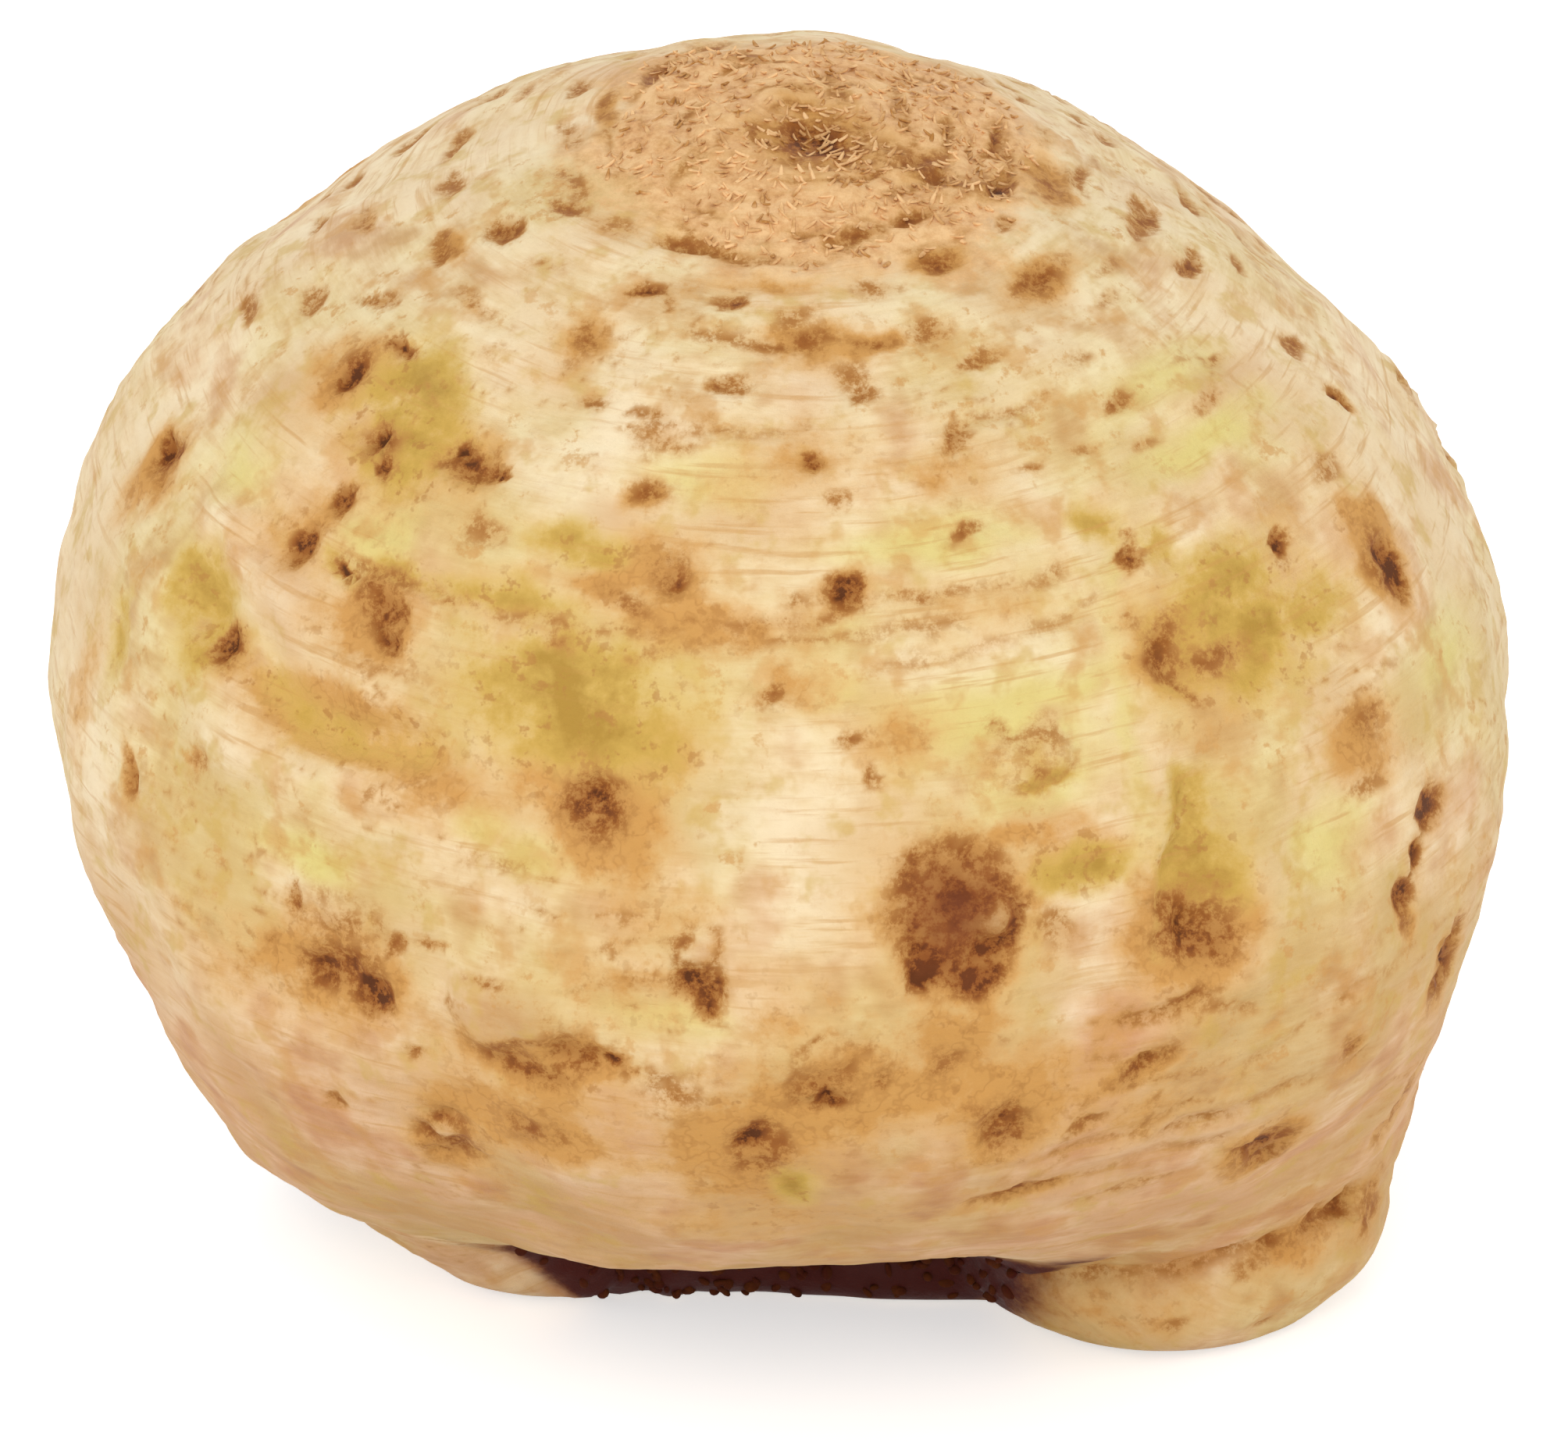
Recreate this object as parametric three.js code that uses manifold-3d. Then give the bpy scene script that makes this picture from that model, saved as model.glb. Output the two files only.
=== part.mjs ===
// A celeriac (knob celery) as sold: one grown root with its leaves cut off, standing crown up on the
// stumps of its trimmed side roots. Millimetres, +Z up, origin under the middle of the root.
// Azimuth is measured round Z from the front (-Y) towards the right (+X), elevation from the level
// of the root's middle, both in degrees.
import * as THREE from 'three';
import { mergeVertices } from 'three/addons/utils/BufferGeometryUtils.js';
import Module from 'manifold-3d';

// Driving dimensions of the swollen body, before its swellings and hollows are added.
const WIDTH = 121;
const DEPTH = 114;
const CROWN_RISE = 55; // from the body's middle up to the growing point
const BELLY_DROP = 40; // from the body's middle down to its pale underside
const MIDDLE_HEIGHT = 47;

// How finely the surfaces are divided.
const BODY_DETAIL = 17;
const LOBE_DETAIL = 5;
const PLATE_SIDES = 40;
const WELD = 1e-4;

const BELOW_FLOOR = 40;

// Broad swellings and hollows of the body: place and spread in degrees, rise in millimetres.
const SWELLINGS = [
  { name: 'back of the crown', azimuth: 180, elevation: 61, spread: 24, rise: 1 },
  { name: 'left brow', azimuth: -130, elevation: 50, spread: 18, rise: -0.8 },
  { name: 'left shoulder', azimuth: -98, elevation: 26, spread: 20, rise: 1.8 },
  { name: 'left waist', azimuth: -82, elevation: -17, spread: 14, rise: -6.4 },
  { name: 'left foot', azimuth: -78, elevation: -40, spread: 21, rise: 8 },
  { name: 'right shoulder', azimuth: 110, elevation: 36, spread: 32, rise: -3.3 },
  { name: 'right waist', azimuth: 86, elevation: -12, spread: 16, rise: -5 },
  { name: 'right foot', azimuth: 74, elevation: -41, spread: 24, rise: 9.2 },
  { name: 'front lip', azimuth: 0, elevation: -44, spread: 28, rise: -2.6 },
];

// Rounded root lobes that bulge out under the body and are trimmed flat below.
const LOBES = [
  { name: 'front right', at: [30.5, -9, 7.5], size: [18.5, 17, 12], turn: 0 },
  { name: 'right buttress', at: [35.5, -6, 16], size: [15, 15, 17], turn: 0 },
  { name: 'front left', at: [-23.5, -9, 8], size: [10.2, 8.5, 9.8], turn: -12 },
  { name: 'left buttress', at: [-27.5, -7, 13], size: [11.5, 10.5, 12.2], turn: 0 },
  { name: 'left', at: [-34, 9, 12], size: [12, 10, 13.5], turn: 20 },
  { name: 'back left', at: [-21, 26, 10], size: [14, 12, 14], turn: 35 },
  { name: 'back', at: [0, 31, 12], size: [10, 10, 13], turn: 0 },
  { name: 'back right', at: [19, 28, 9], size: [13, 11, 14], turn: -25 },
  { name: 'right', at: [36, 13, 11], size: [12, 11, 13], turn: 10 },
];

// The trimmed root plate in the middle, which carries most of the weight.
const PLATE = { at: [3, 1.5], halfWidths: [38, 16.4], reach: 13, turn: -8 };

// Side of the plate as a share of its half width and of its reach, from the cut face upwards.
const PLATE_SIDE = [
  [0.94, 0],
  [1, 0.08],
  [1, 0.5],
  [0.9, 1],
];

const wasm = await Module();
wasm.setup();

const { degToRad, radToDeg } = THREE.MathUtils;

function directionOf(azimuth, elevation) {
  const a = degToRad(azimuth);
  const e = degToRad(elevation);
  return new THREE.Vector3(Math.sin(a) * Math.cos(e), -Math.cos(a) * Math.cos(e), Math.sin(e));
}

// 1 at the middle of a swelling, falling smoothly to nothing at about twice its spread.
function bell(angle, spread) {
  return Math.exp(-((angle / spread) ** 2));
}

// Distance from the body's middle to its skin along a unit direction.
function skinRadius(direction) {
  const halfHeight = direction.z > 0 ? CROWN_RISE : BELLY_DROP;
  const halfSizes = new THREE.Vector3(WIDTH / 2, DEPTH / 2, halfHeight);
  let radius = 1 / direction.clone().divide(halfSizes).length();
  for (const { azimuth, elevation, spread, rise } of SWELLINGS) {
    const angle = radToDeg(direction.angleTo(directionOf(azimuth, elevation)));
    radius += rise * bell(angle, spread);
  }
  return radius;
}

function solidOf(geometry) {
  geometry.deleteAttribute('normal');
  geometry.deleteAttribute('uv');
  const merged = mergeVertices(geometry, WELD);
  const mesh = new wasm.Mesh({
    numProp: 3,
    vertProperties: new Float32Array(merged.attributes.position.array),
    triVerts: new Uint32Array(merged.index.array),
  });
  return new wasm.Manifold(mesh);
}

function geometryOf(solid) {
  const mesh = solid.getMesh();
  const geometry = new THREE.BufferGeometry();
  geometry.setAttribute('position', new THREE.BufferAttribute(mesh.vertProperties, 3));
  geometry.setIndex(new THREE.BufferAttribute(mesh.triVerts, 1));
  geometry.computeVertexNormals();
  return geometry;
}

function body() {
  const geometry = new THREE.IcosahedronGeometry(1, BODY_DETAIL);
  const position = geometry.attributes.position;
  const direction = new THREE.Vector3();
  for (let i = 0; i < position.count; i++) {
    direction.fromBufferAttribute(position, i).normalize();
    const radius = skinRadius(direction);
    position.setXYZ(i, direction.x * radius, direction.y * radius, MIDDLE_HEIGHT + direction.z * radius);
  }
  return solidOf(geometry);
}

function lobe({ at, size, turn }) {
  const geometry = new THREE.IcosahedronGeometry(1, LOBE_DETAIL);
  geometry.scale(...size);
  geometry.rotateZ(degToRad(turn));
  geometry.translate(...at);
  return solidOf(geometry);
}

function rootPlate() {
  const { at, halfWidths, reach, turn } = PLATE;
  const side = PLATE_SIDE.map(([share, height]) => new THREE.Vector2(share, height));
  const profile = [new THREE.Vector2(0, 0), ...side, new THREE.Vector2(0, 1)];
  const geometry = new THREE.LatheGeometry(profile, PLATE_SIDES);
  geometry.rotateX(Math.PI / 2);
  geometry.scale(halfWidths[0], halfWidths[1], reach);
  geometry.rotateZ(degToRad(turn));
  geometry.translate(at[0], at[1], 0);
  return solidOf(geometry);
}

// Everything under the level on which the trimmed roots stand.
function underFloor() {
  const span = 2 * WIDTH;
  const box = new THREE.BoxGeometry(span, span, BELOW_FLOOR);
  box.translate(0, 0, -BELOW_FLOOR / 2);
  return solidOf(box);
}

let grown = body().add(rootPlate());
for (const shape of LOBES) grown = grown.add(lobe(shape));

const celeriacGeometry = geometryOf(grown.subtract(underFloor()));
celeriacGeometry.computeBoundingBox();
const middle = celeriacGeometry.boundingBox.getCenter(new THREE.Vector3());
celeriacGeometry.translate(-middle.x, -middle.y, -celeriacGeometry.boundingBox.min.z);

const skin = new THREE.MeshStandardMaterial({ color: 0xe6c791, roughness: 0.75, metalness: 0 });
const celeriac = new THREE.Mesh(celeriacGeometry, skin);
celeriac.name = 'celeriac';

const part = new THREE.Group();
part.add(celeriac);

export default part;
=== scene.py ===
"""A celeriac as sold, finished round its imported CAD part.

The part gives the root's size, place and broad form. Here a copy of it gets the lumps, wrinkles, leaf
scars and root scars of a grown skin. Dry leaf bases, snapped rootlets and crumbs of soil are set on it,
and a plain studio is put round it. Places on the root are an azimuth, in degrees round Z from the front
(-Y) towards the right (+X), and an elevation, in degrees above the level of the root's middle. Lengths
are millimetres up to the moment when a mesh is written, in metres.
"""

import math
from types import SimpleNamespace
from typing import NamedTuple

import bmesh
import bpy
import numpy as np
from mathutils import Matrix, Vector


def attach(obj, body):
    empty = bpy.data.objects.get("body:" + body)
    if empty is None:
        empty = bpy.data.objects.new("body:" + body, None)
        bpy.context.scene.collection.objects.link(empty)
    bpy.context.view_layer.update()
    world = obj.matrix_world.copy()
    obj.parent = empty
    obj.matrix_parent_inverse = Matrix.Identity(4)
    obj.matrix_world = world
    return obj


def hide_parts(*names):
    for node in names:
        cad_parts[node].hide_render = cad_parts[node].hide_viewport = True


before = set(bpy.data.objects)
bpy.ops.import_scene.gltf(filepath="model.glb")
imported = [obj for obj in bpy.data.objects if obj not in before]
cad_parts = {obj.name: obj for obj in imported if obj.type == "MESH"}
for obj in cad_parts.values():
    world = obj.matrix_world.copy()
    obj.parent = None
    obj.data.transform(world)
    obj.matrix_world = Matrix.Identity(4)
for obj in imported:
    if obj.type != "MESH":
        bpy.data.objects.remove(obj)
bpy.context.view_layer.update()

bl_info = {
    "name": "Celeriac",
    "version": (1, 0, 0),
    "blender": (4, 5, 0),
    "location": "3D View > Sidebar > Celeriac",
    "description": "Grows the skin, crown and base of a celeriac round its solid, and lights it",
    "category": "Object",
}

MM = 0.001
CAD_NODE = "celeriac"
BODY = "root"
SKIN = "celeriac_root"
MIDDLE = np.array([0.0, 0.0, 47.0])  # the root's middle, from which elevations are measured
MEAN_RADIUS = 55.0  # turns an angle at the middle into a length on the skin
MOST_STAIN = 1.5  # how strong a stain can get where several overlap

WHITE = (1.0, 1.0, 1.0, 1.0)
FLOOR_GREY = (0.8, 0.8, 0.8, 1.0)
FLOOR_LIFT = 0.54  # what the lit floor lacks to look white


# ---------------------------------------------------------------------------------------------------
# Marks on the skin
# ---------------------------------------------------------------------------------------------------


class Kind(NamedTuple):
    """What a kind of mark does: relief in millimetres, and how strongly it stains, from 0 to about 1."""

    sunk: float = 0.0
    rim: float = 0.0
    brown: float = 0.0
    ochre: float = 0.0
    olive: float = 0.0
    green: float = 0.0
    pale: float = 0.0
    peach: float = 0.0
    soil: float = 0.0
    rough: float = 0.0
    lip: float = 0.0  # a thin broken brown line round its edge
    rootlets: float = 0.0  # how densely snapped rootlets stand on it
    clears: float = 0.0  # how much of the older stains it wipes away
    edge: float = 0.6  # share of the radius at which a brown stain starts to fade
    reach: float = 2.1  # share of the radius at which every other stain has gone
    torn: float = 0.4  # how ragged its outline is


KINDS = {
    "leaf": Kind(sunk=0.35, rim=0.2, brown=0.5, ochre=0.34, olive=0.06, reach=1.6),
    "dark leaf": Kind(sunk=0.45, rim=0.2, brown=0.7, ochre=0.34, olive=0.08, reach=1.6),
    "faint": Kind(sunk=0.15, rim=0.1, brown=0.34, ochre=0.3, olive=0.05, reach=1.6),
    "pit": Kind(sunk=0.6, rim=0.25, brown=1.0, ochre=0.8, rough=0.4, torn=0.3),
    "scar": Kind(sunk=0.5, rim=0.4, brown=0.68, ochre=0.95, rough=0.9),
    "rust": Kind(sunk=0.12, brown=0.52, ochre=1.05, rough=0.6, edge=0.3, reach=1.9),
    "root scar": Kind(
        sunk=0.5, rim=0.5, brown=0.8, ochre=0.9, soil=0.42, rough=0.9, edge=0.85, reach=1.5, torn=0.22
    ),
    "old scar": Kind(sunk=0.5, rim=0.5, brown=0.56, ochre=0.8, soil=0.12, rough=0.9, reach=1.6, torn=0.55),
    "crust": Kind(sunk=0.2, brown=1.0, soil=0.32, rough=0.6, reach=1.4),
    "lump": Kind(sunk=-0.9, pale=0.3, peach=0.8, clears=0.6, reach=1.4, torn=0.2),
    "ochre": Kind(sunk=0.1, ochre=0.95, reach=1.8),
    "tan": Kind(ochre=0.55, reach=1.8),
    "wash": Kind(green=0.4, reach=1.8),
    "olive": Kind(sunk=0.3, olive=1.1, ochre=0.15, reach=1.8),
    "green": Kind(sunk=0.15, green=0.95, reach=1.8),
    "pale": Kind(sunk=-0.3, pale=0.8, reach=1.7),
    "peach": Kind(sunk=-0.2, peach=0.8, reach=1.7),
    "knob": Kind(sunk=-0.8, pale=0.25, peach=0.6, lip=0.36, clears=0.8, reach=1.5),
    "rooted": Kind(sunk=0.1, brown=0.45, ochre=0.7, soil=0.1, rough=1.0, rootlets=1.0, edge=0.2, reach=1.5),
    "scab": Kind(
        sunk=-0.6, rim=-0.3, brown=0.34, ochre=0.3, olive=0.5, lip=0.08, clears=0.7, rough=1.0, reach=1.7
    ),
    "crinkled": Kind(sunk=-0.15, rim=0.3, brown=0.34, peach=0.4, lip=0.2, rough=1.1, edge=0.2, reach=1.6),
}


class Mark(NamedTuple):
    """One mark: width runs round the root and height up it, in millimetres, before the turn in degrees."""

    kind: str
    azimuth: float
    elevation: float
    width: float
    height: float
    turn: float = 0.0


# Leaf scars and pits of the shoulder, which stand out enough to be placed one by one.
SHOULDER_MARKS = [
    Mark("leaf", -87, 55, 5, 1.8),
    Mark("leaf", -93, 50, 4, 1.6),
    Mark("leaf", -76, 49, 4, 2.4),
    Mark("leaf", -66, 53, 5, 1.8, 25),
    Mark("faint", -50, 58, 6, 1.6),
    Mark("leaf", -85, 62, 5, 1.6),
    Mark("leaf", -60, 64, 3.5, 2.2),
    Mark("leaf", -67, 59, 4.5, 1.6),
    Mark("leaf", -54, 69, 4.5, 1.8),
    Mark("faint", -43, 63, 4.5, 1.6),
    Mark("dark leaf", -24, 64, 2.8, 1.7),
    Mark("dark leaf", -9, 64, 2.4, 1.3),
    Mark("leaf", -7, 56, 3.8, 2.6, 12),
    Mark("rust", -31, 58, 3.4, 5.5),
    Mark("leaf", -25, 53, 2.2, 1.3),
    Mark("faint", -15, 51, 6, 1.8),
    Mark("faint", 12, 57, 3.4, 3.4),
    Mark("leaf", 13, 55, 2.4, 1.5),
    Mark("leaf", 22, 50.5, 2.8, 2.4),
    Mark("tan", 21, 48, 6, 4),
    Mark("dark leaf", 4, 50, 2.3, 1.9),
    Mark("faint", 7, 46, 3, 1.8),
    Mark("leaf", 44, 49, 3.4, 1.6),
    Mark("faint", 30, 56, 3.4, 1.5),
    Mark("faint", 25, 60, 4.8, 1.7),
    Mark("faint", 55, 56, 3.4, 1.4),
    Mark("faint", 62, 48, 4, 1.5),
    Mark("leaf", 78, 43, 4, 2.4),
    Mark("leaf", 85, 58, 6, 1.7),
    Mark("leaf", 89, 64, 6, 1.8),
    Mark("leaf", 103, 52, 5, 1.8),
    Mark("faint", 101, 46, 5, 1.8),
    Mark("leaf", 33, 66, 3.6, 2.2),
    Mark("leaf", 66, 70, 5, 2.2),
    Mark("pit", 75, 38, 1.6, 3),
    Mark("faint", 63, 36, 6, 2.6),
    Mark("faint", 30, 47, 2.8, 1.2),
    Mark("faint", 37, 47, 3, 1.2),
    Mark("faint", 44, 45, 3.3, 1.2),
]

# Scars, scales and stains of the crown's disc and of the rings just below it.
CROWN_MARKS = [
    Mark("dark leaf", -130, 77, 4.8, 1.7),
    Mark("leaf", -162, 80, 4.3, 2.1),
    Mark("rust", -98, 76, 7.9, 1.9),
    Mark("faint", -90, 73, 6.7, 1.6),
    Mark("leaf", 128, 84, 5.4, 1.6),
    Mark("leaf", 128, 76, 3.8, 1.6),
    Mark("leaf", 89, 76, 5.3, 1.2),
    Mark("dark leaf", 89, 72, 6.7, 1.4),
    Mark("rust", 58, 76, 5.7, 2.8),
    Mark("rust", 65, 70, 6, 2.6),
    Mark("dark leaf", 66, 70, 3, 1.4),
    Mark("rust", 78, 67, 7.5, 4.5),
    Mark("leaf", 37, 72, 3.6, 1.6),
    Mark("faint", 27, 72, 1.2, 4),
    Mark("faint", -38, 78, 2.4, 3.9),
    Mark("leaf", 101, 80, 6.5, 1.3),
    Mark("leaf", -24, 70, 4.2, 1.8),
    Mark("leaf", -13, 70, 3.3, 1.7),
    Mark("leaf", 20, 71, 4.7, 2.1),
    Mark("rust", 34, 66, 5, 3.1),
    Mark("rust", 48, 61, 7.9, 4.1),
    Mark("leaf", 47, 61, 3, 1.6),
    Mark("faint", 63, 59, 6.4, 1.6),
    Mark("dark leaf", 78, 54, 5.3, 1.7),
    Mark("leaf", 82, 59, 8, 2),
    Mark("leaf", -103, 62, 5.9, 1.4),
    Mark("faint", -61, 71, 6.1, 2.7),
    Mark("leaf", -61, 64, 4.8, 2.7),
    Mark("rust", -66, 60, 6.5, 2.3),
    Mark("faint", -40, 70, 4.8, 2.2),
    Mark("leaf", -20, 63, 2.1, 1.5),
    Mark("faint", 2, 63, 3.9, 2.4),
    Mark("rust", 5, 61, 6.5, 1.9),
    Mark("rust", 14, 60, 4.6, 1.9),
    Mark("tan", -6, 66, 5.9, 2.5),
    Mark("faint", 18, 65, 4.1, 2.4),
    Mark("faint", 24, 60, 4.8, 3),
    Mark("faint", 29, 56, 4.3, 2),
    Mark("pale", 1, 76, 12, 7),
]

# Soft tints of the front, which lie under everything else.
FRONT_TINTS = [
    Mark("green", 16, 43, 16, 5),
    Mark("green", 53, 43, 18, 4),
    Mark("green", 54, 49, 15, 5),
    Mark("green", -9, 48, 11, 4.5),
    Mark("green", 65, 19, 12, 6),
    Mark("green", 3, 32, 8, 4),
    Mark("green", -40, 12, 10, 4),
    Mark("green", -9, 6, 11, 5),
    Mark("green", -62, 36, 9, 7),
    Mark("green", 24, 30, 12, 4),
    Mark("green", -19, 17, 9, 4),
    Mark("green", 46, 12, 9, 6),
    Mark("pale", -1, 24, 10, 20),
    Mark("pale", 18, 33, 20, 5),
    Mark("pale", -24, 47, 9, 9),
    Mark("pale", 25, 12, 6, 9),
    Mark("pale", -50, 18, 9, 5),
    Mark("peach", 18, 31, 18, 4),
    Mark("peach", -50, 31, 9, 5, -40),
    Mark("peach", -58, 7, 9, 7),
    Mark("peach", 48, -6, 10, 9),
    Mark("peach", -22, 3, 10, 4),
    Mark("peach", 64, 2, 8, 12),
    Mark("peach", 30, 1, 12, 8),
    Mark("ochre", 43, 29.5, 17, 11),
    Mark("ochre", -42, 45, 12, 8),
    Mark("ochre", -38, 23.5, 14, 5),
    Mark("ochre", 13, 3, 8, 12),
    Mark("ochre", -2, -6, 9.5, 16),
    Mark("ochre", -22, -6.5, 14, 6),
    Mark("ochre", -12, 40, 9, 7),
    Mark("ochre", -7, 36.5, 12, 4),
    Mark("ochre", -58, 47.5, 9, 6),
    Mark("ochre", -74, 31, 7, 9),
    Mark("ochre", -16, 23, 9, 8),
    Mark("ochre", -36, 4, 11, 7),
    Mark("ochre", -17, 1, 10, 5),
    Mark("tan", -31, 57, 5, 8),
    Mark("tan", 5, 60, 12, 5),
    Mark("tan", 21, 48, 7, 8),
    Mark("ochre", 20.5, 19, 9, 2.4),
    Mark("ochre", 25, 16, 9, 4),
    Mark("ochre", 52, 17.5, 8, 6.5),
    Mark("ochre", 64, 30, 6, 7),
    Mark("tan", -16, 38.5, 14, 5),
    Mark("tan", -15, 18, 10, 6),
    Mark("tan", 0, -16, 28, 7),
    Mark("tan", 30, -7, 16, 9),
    Mark("tan", -45, 2, 16, 9),
    Mark("ochre", 63, -37, 8, 5),
    Mark("tan", -70, 14, 6, 12),
    Mark("tan", -8, 14, 8, 5),
    Mark("tan", -12, 8, 13, 9),
    Mark("tan", -12.5, 18, 10, 8),
    Mark("tan", 1, 7, 9, 8),
    Mark("tan", -51, 34, 12, 9),
    Mark("tan", -46, 23, 9, 7),
    Mark("tan", -39, 1, 12, 10),
    Mark("tan", 1, 32, 9, 6),
    Mark("tan", -30, 36, 14, 5),
    Mark("green", 16, 28, 14, 7),
    Mark("tan", 10, 27, 9, 8),
    Mark("ochre", 18, -2, 12, 8),
    Mark("ochre", 6, 0, 12, 9),
    Mark("ochre", -40, 30, 10, 6),
    Mark("tan", -30, 20, 14, 7),
    Mark("tan", -18, 28, 22, 13),
    Mark("tan", -20, -3, 18, 10),
    Mark("tan", -6, -6, 16, 9),
    Mark("tan", -46, 43, 16, 11),
    Mark("olive", -45, 45, 12, 7),
    Mark("tan", 2, 50, 16, 8),
    Mark("tan", 20, 36, 12, 6),
    Mark("olive", -19, 30, 18, 9),
    Mark("pale", -66, 8, 14, 20),
    Mark("pale", 52, 67, 16, 10),
    Mark("wash", 0, 33, 46, 15),
    Mark("wash", 26, 34, 32, 16),
]

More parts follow.
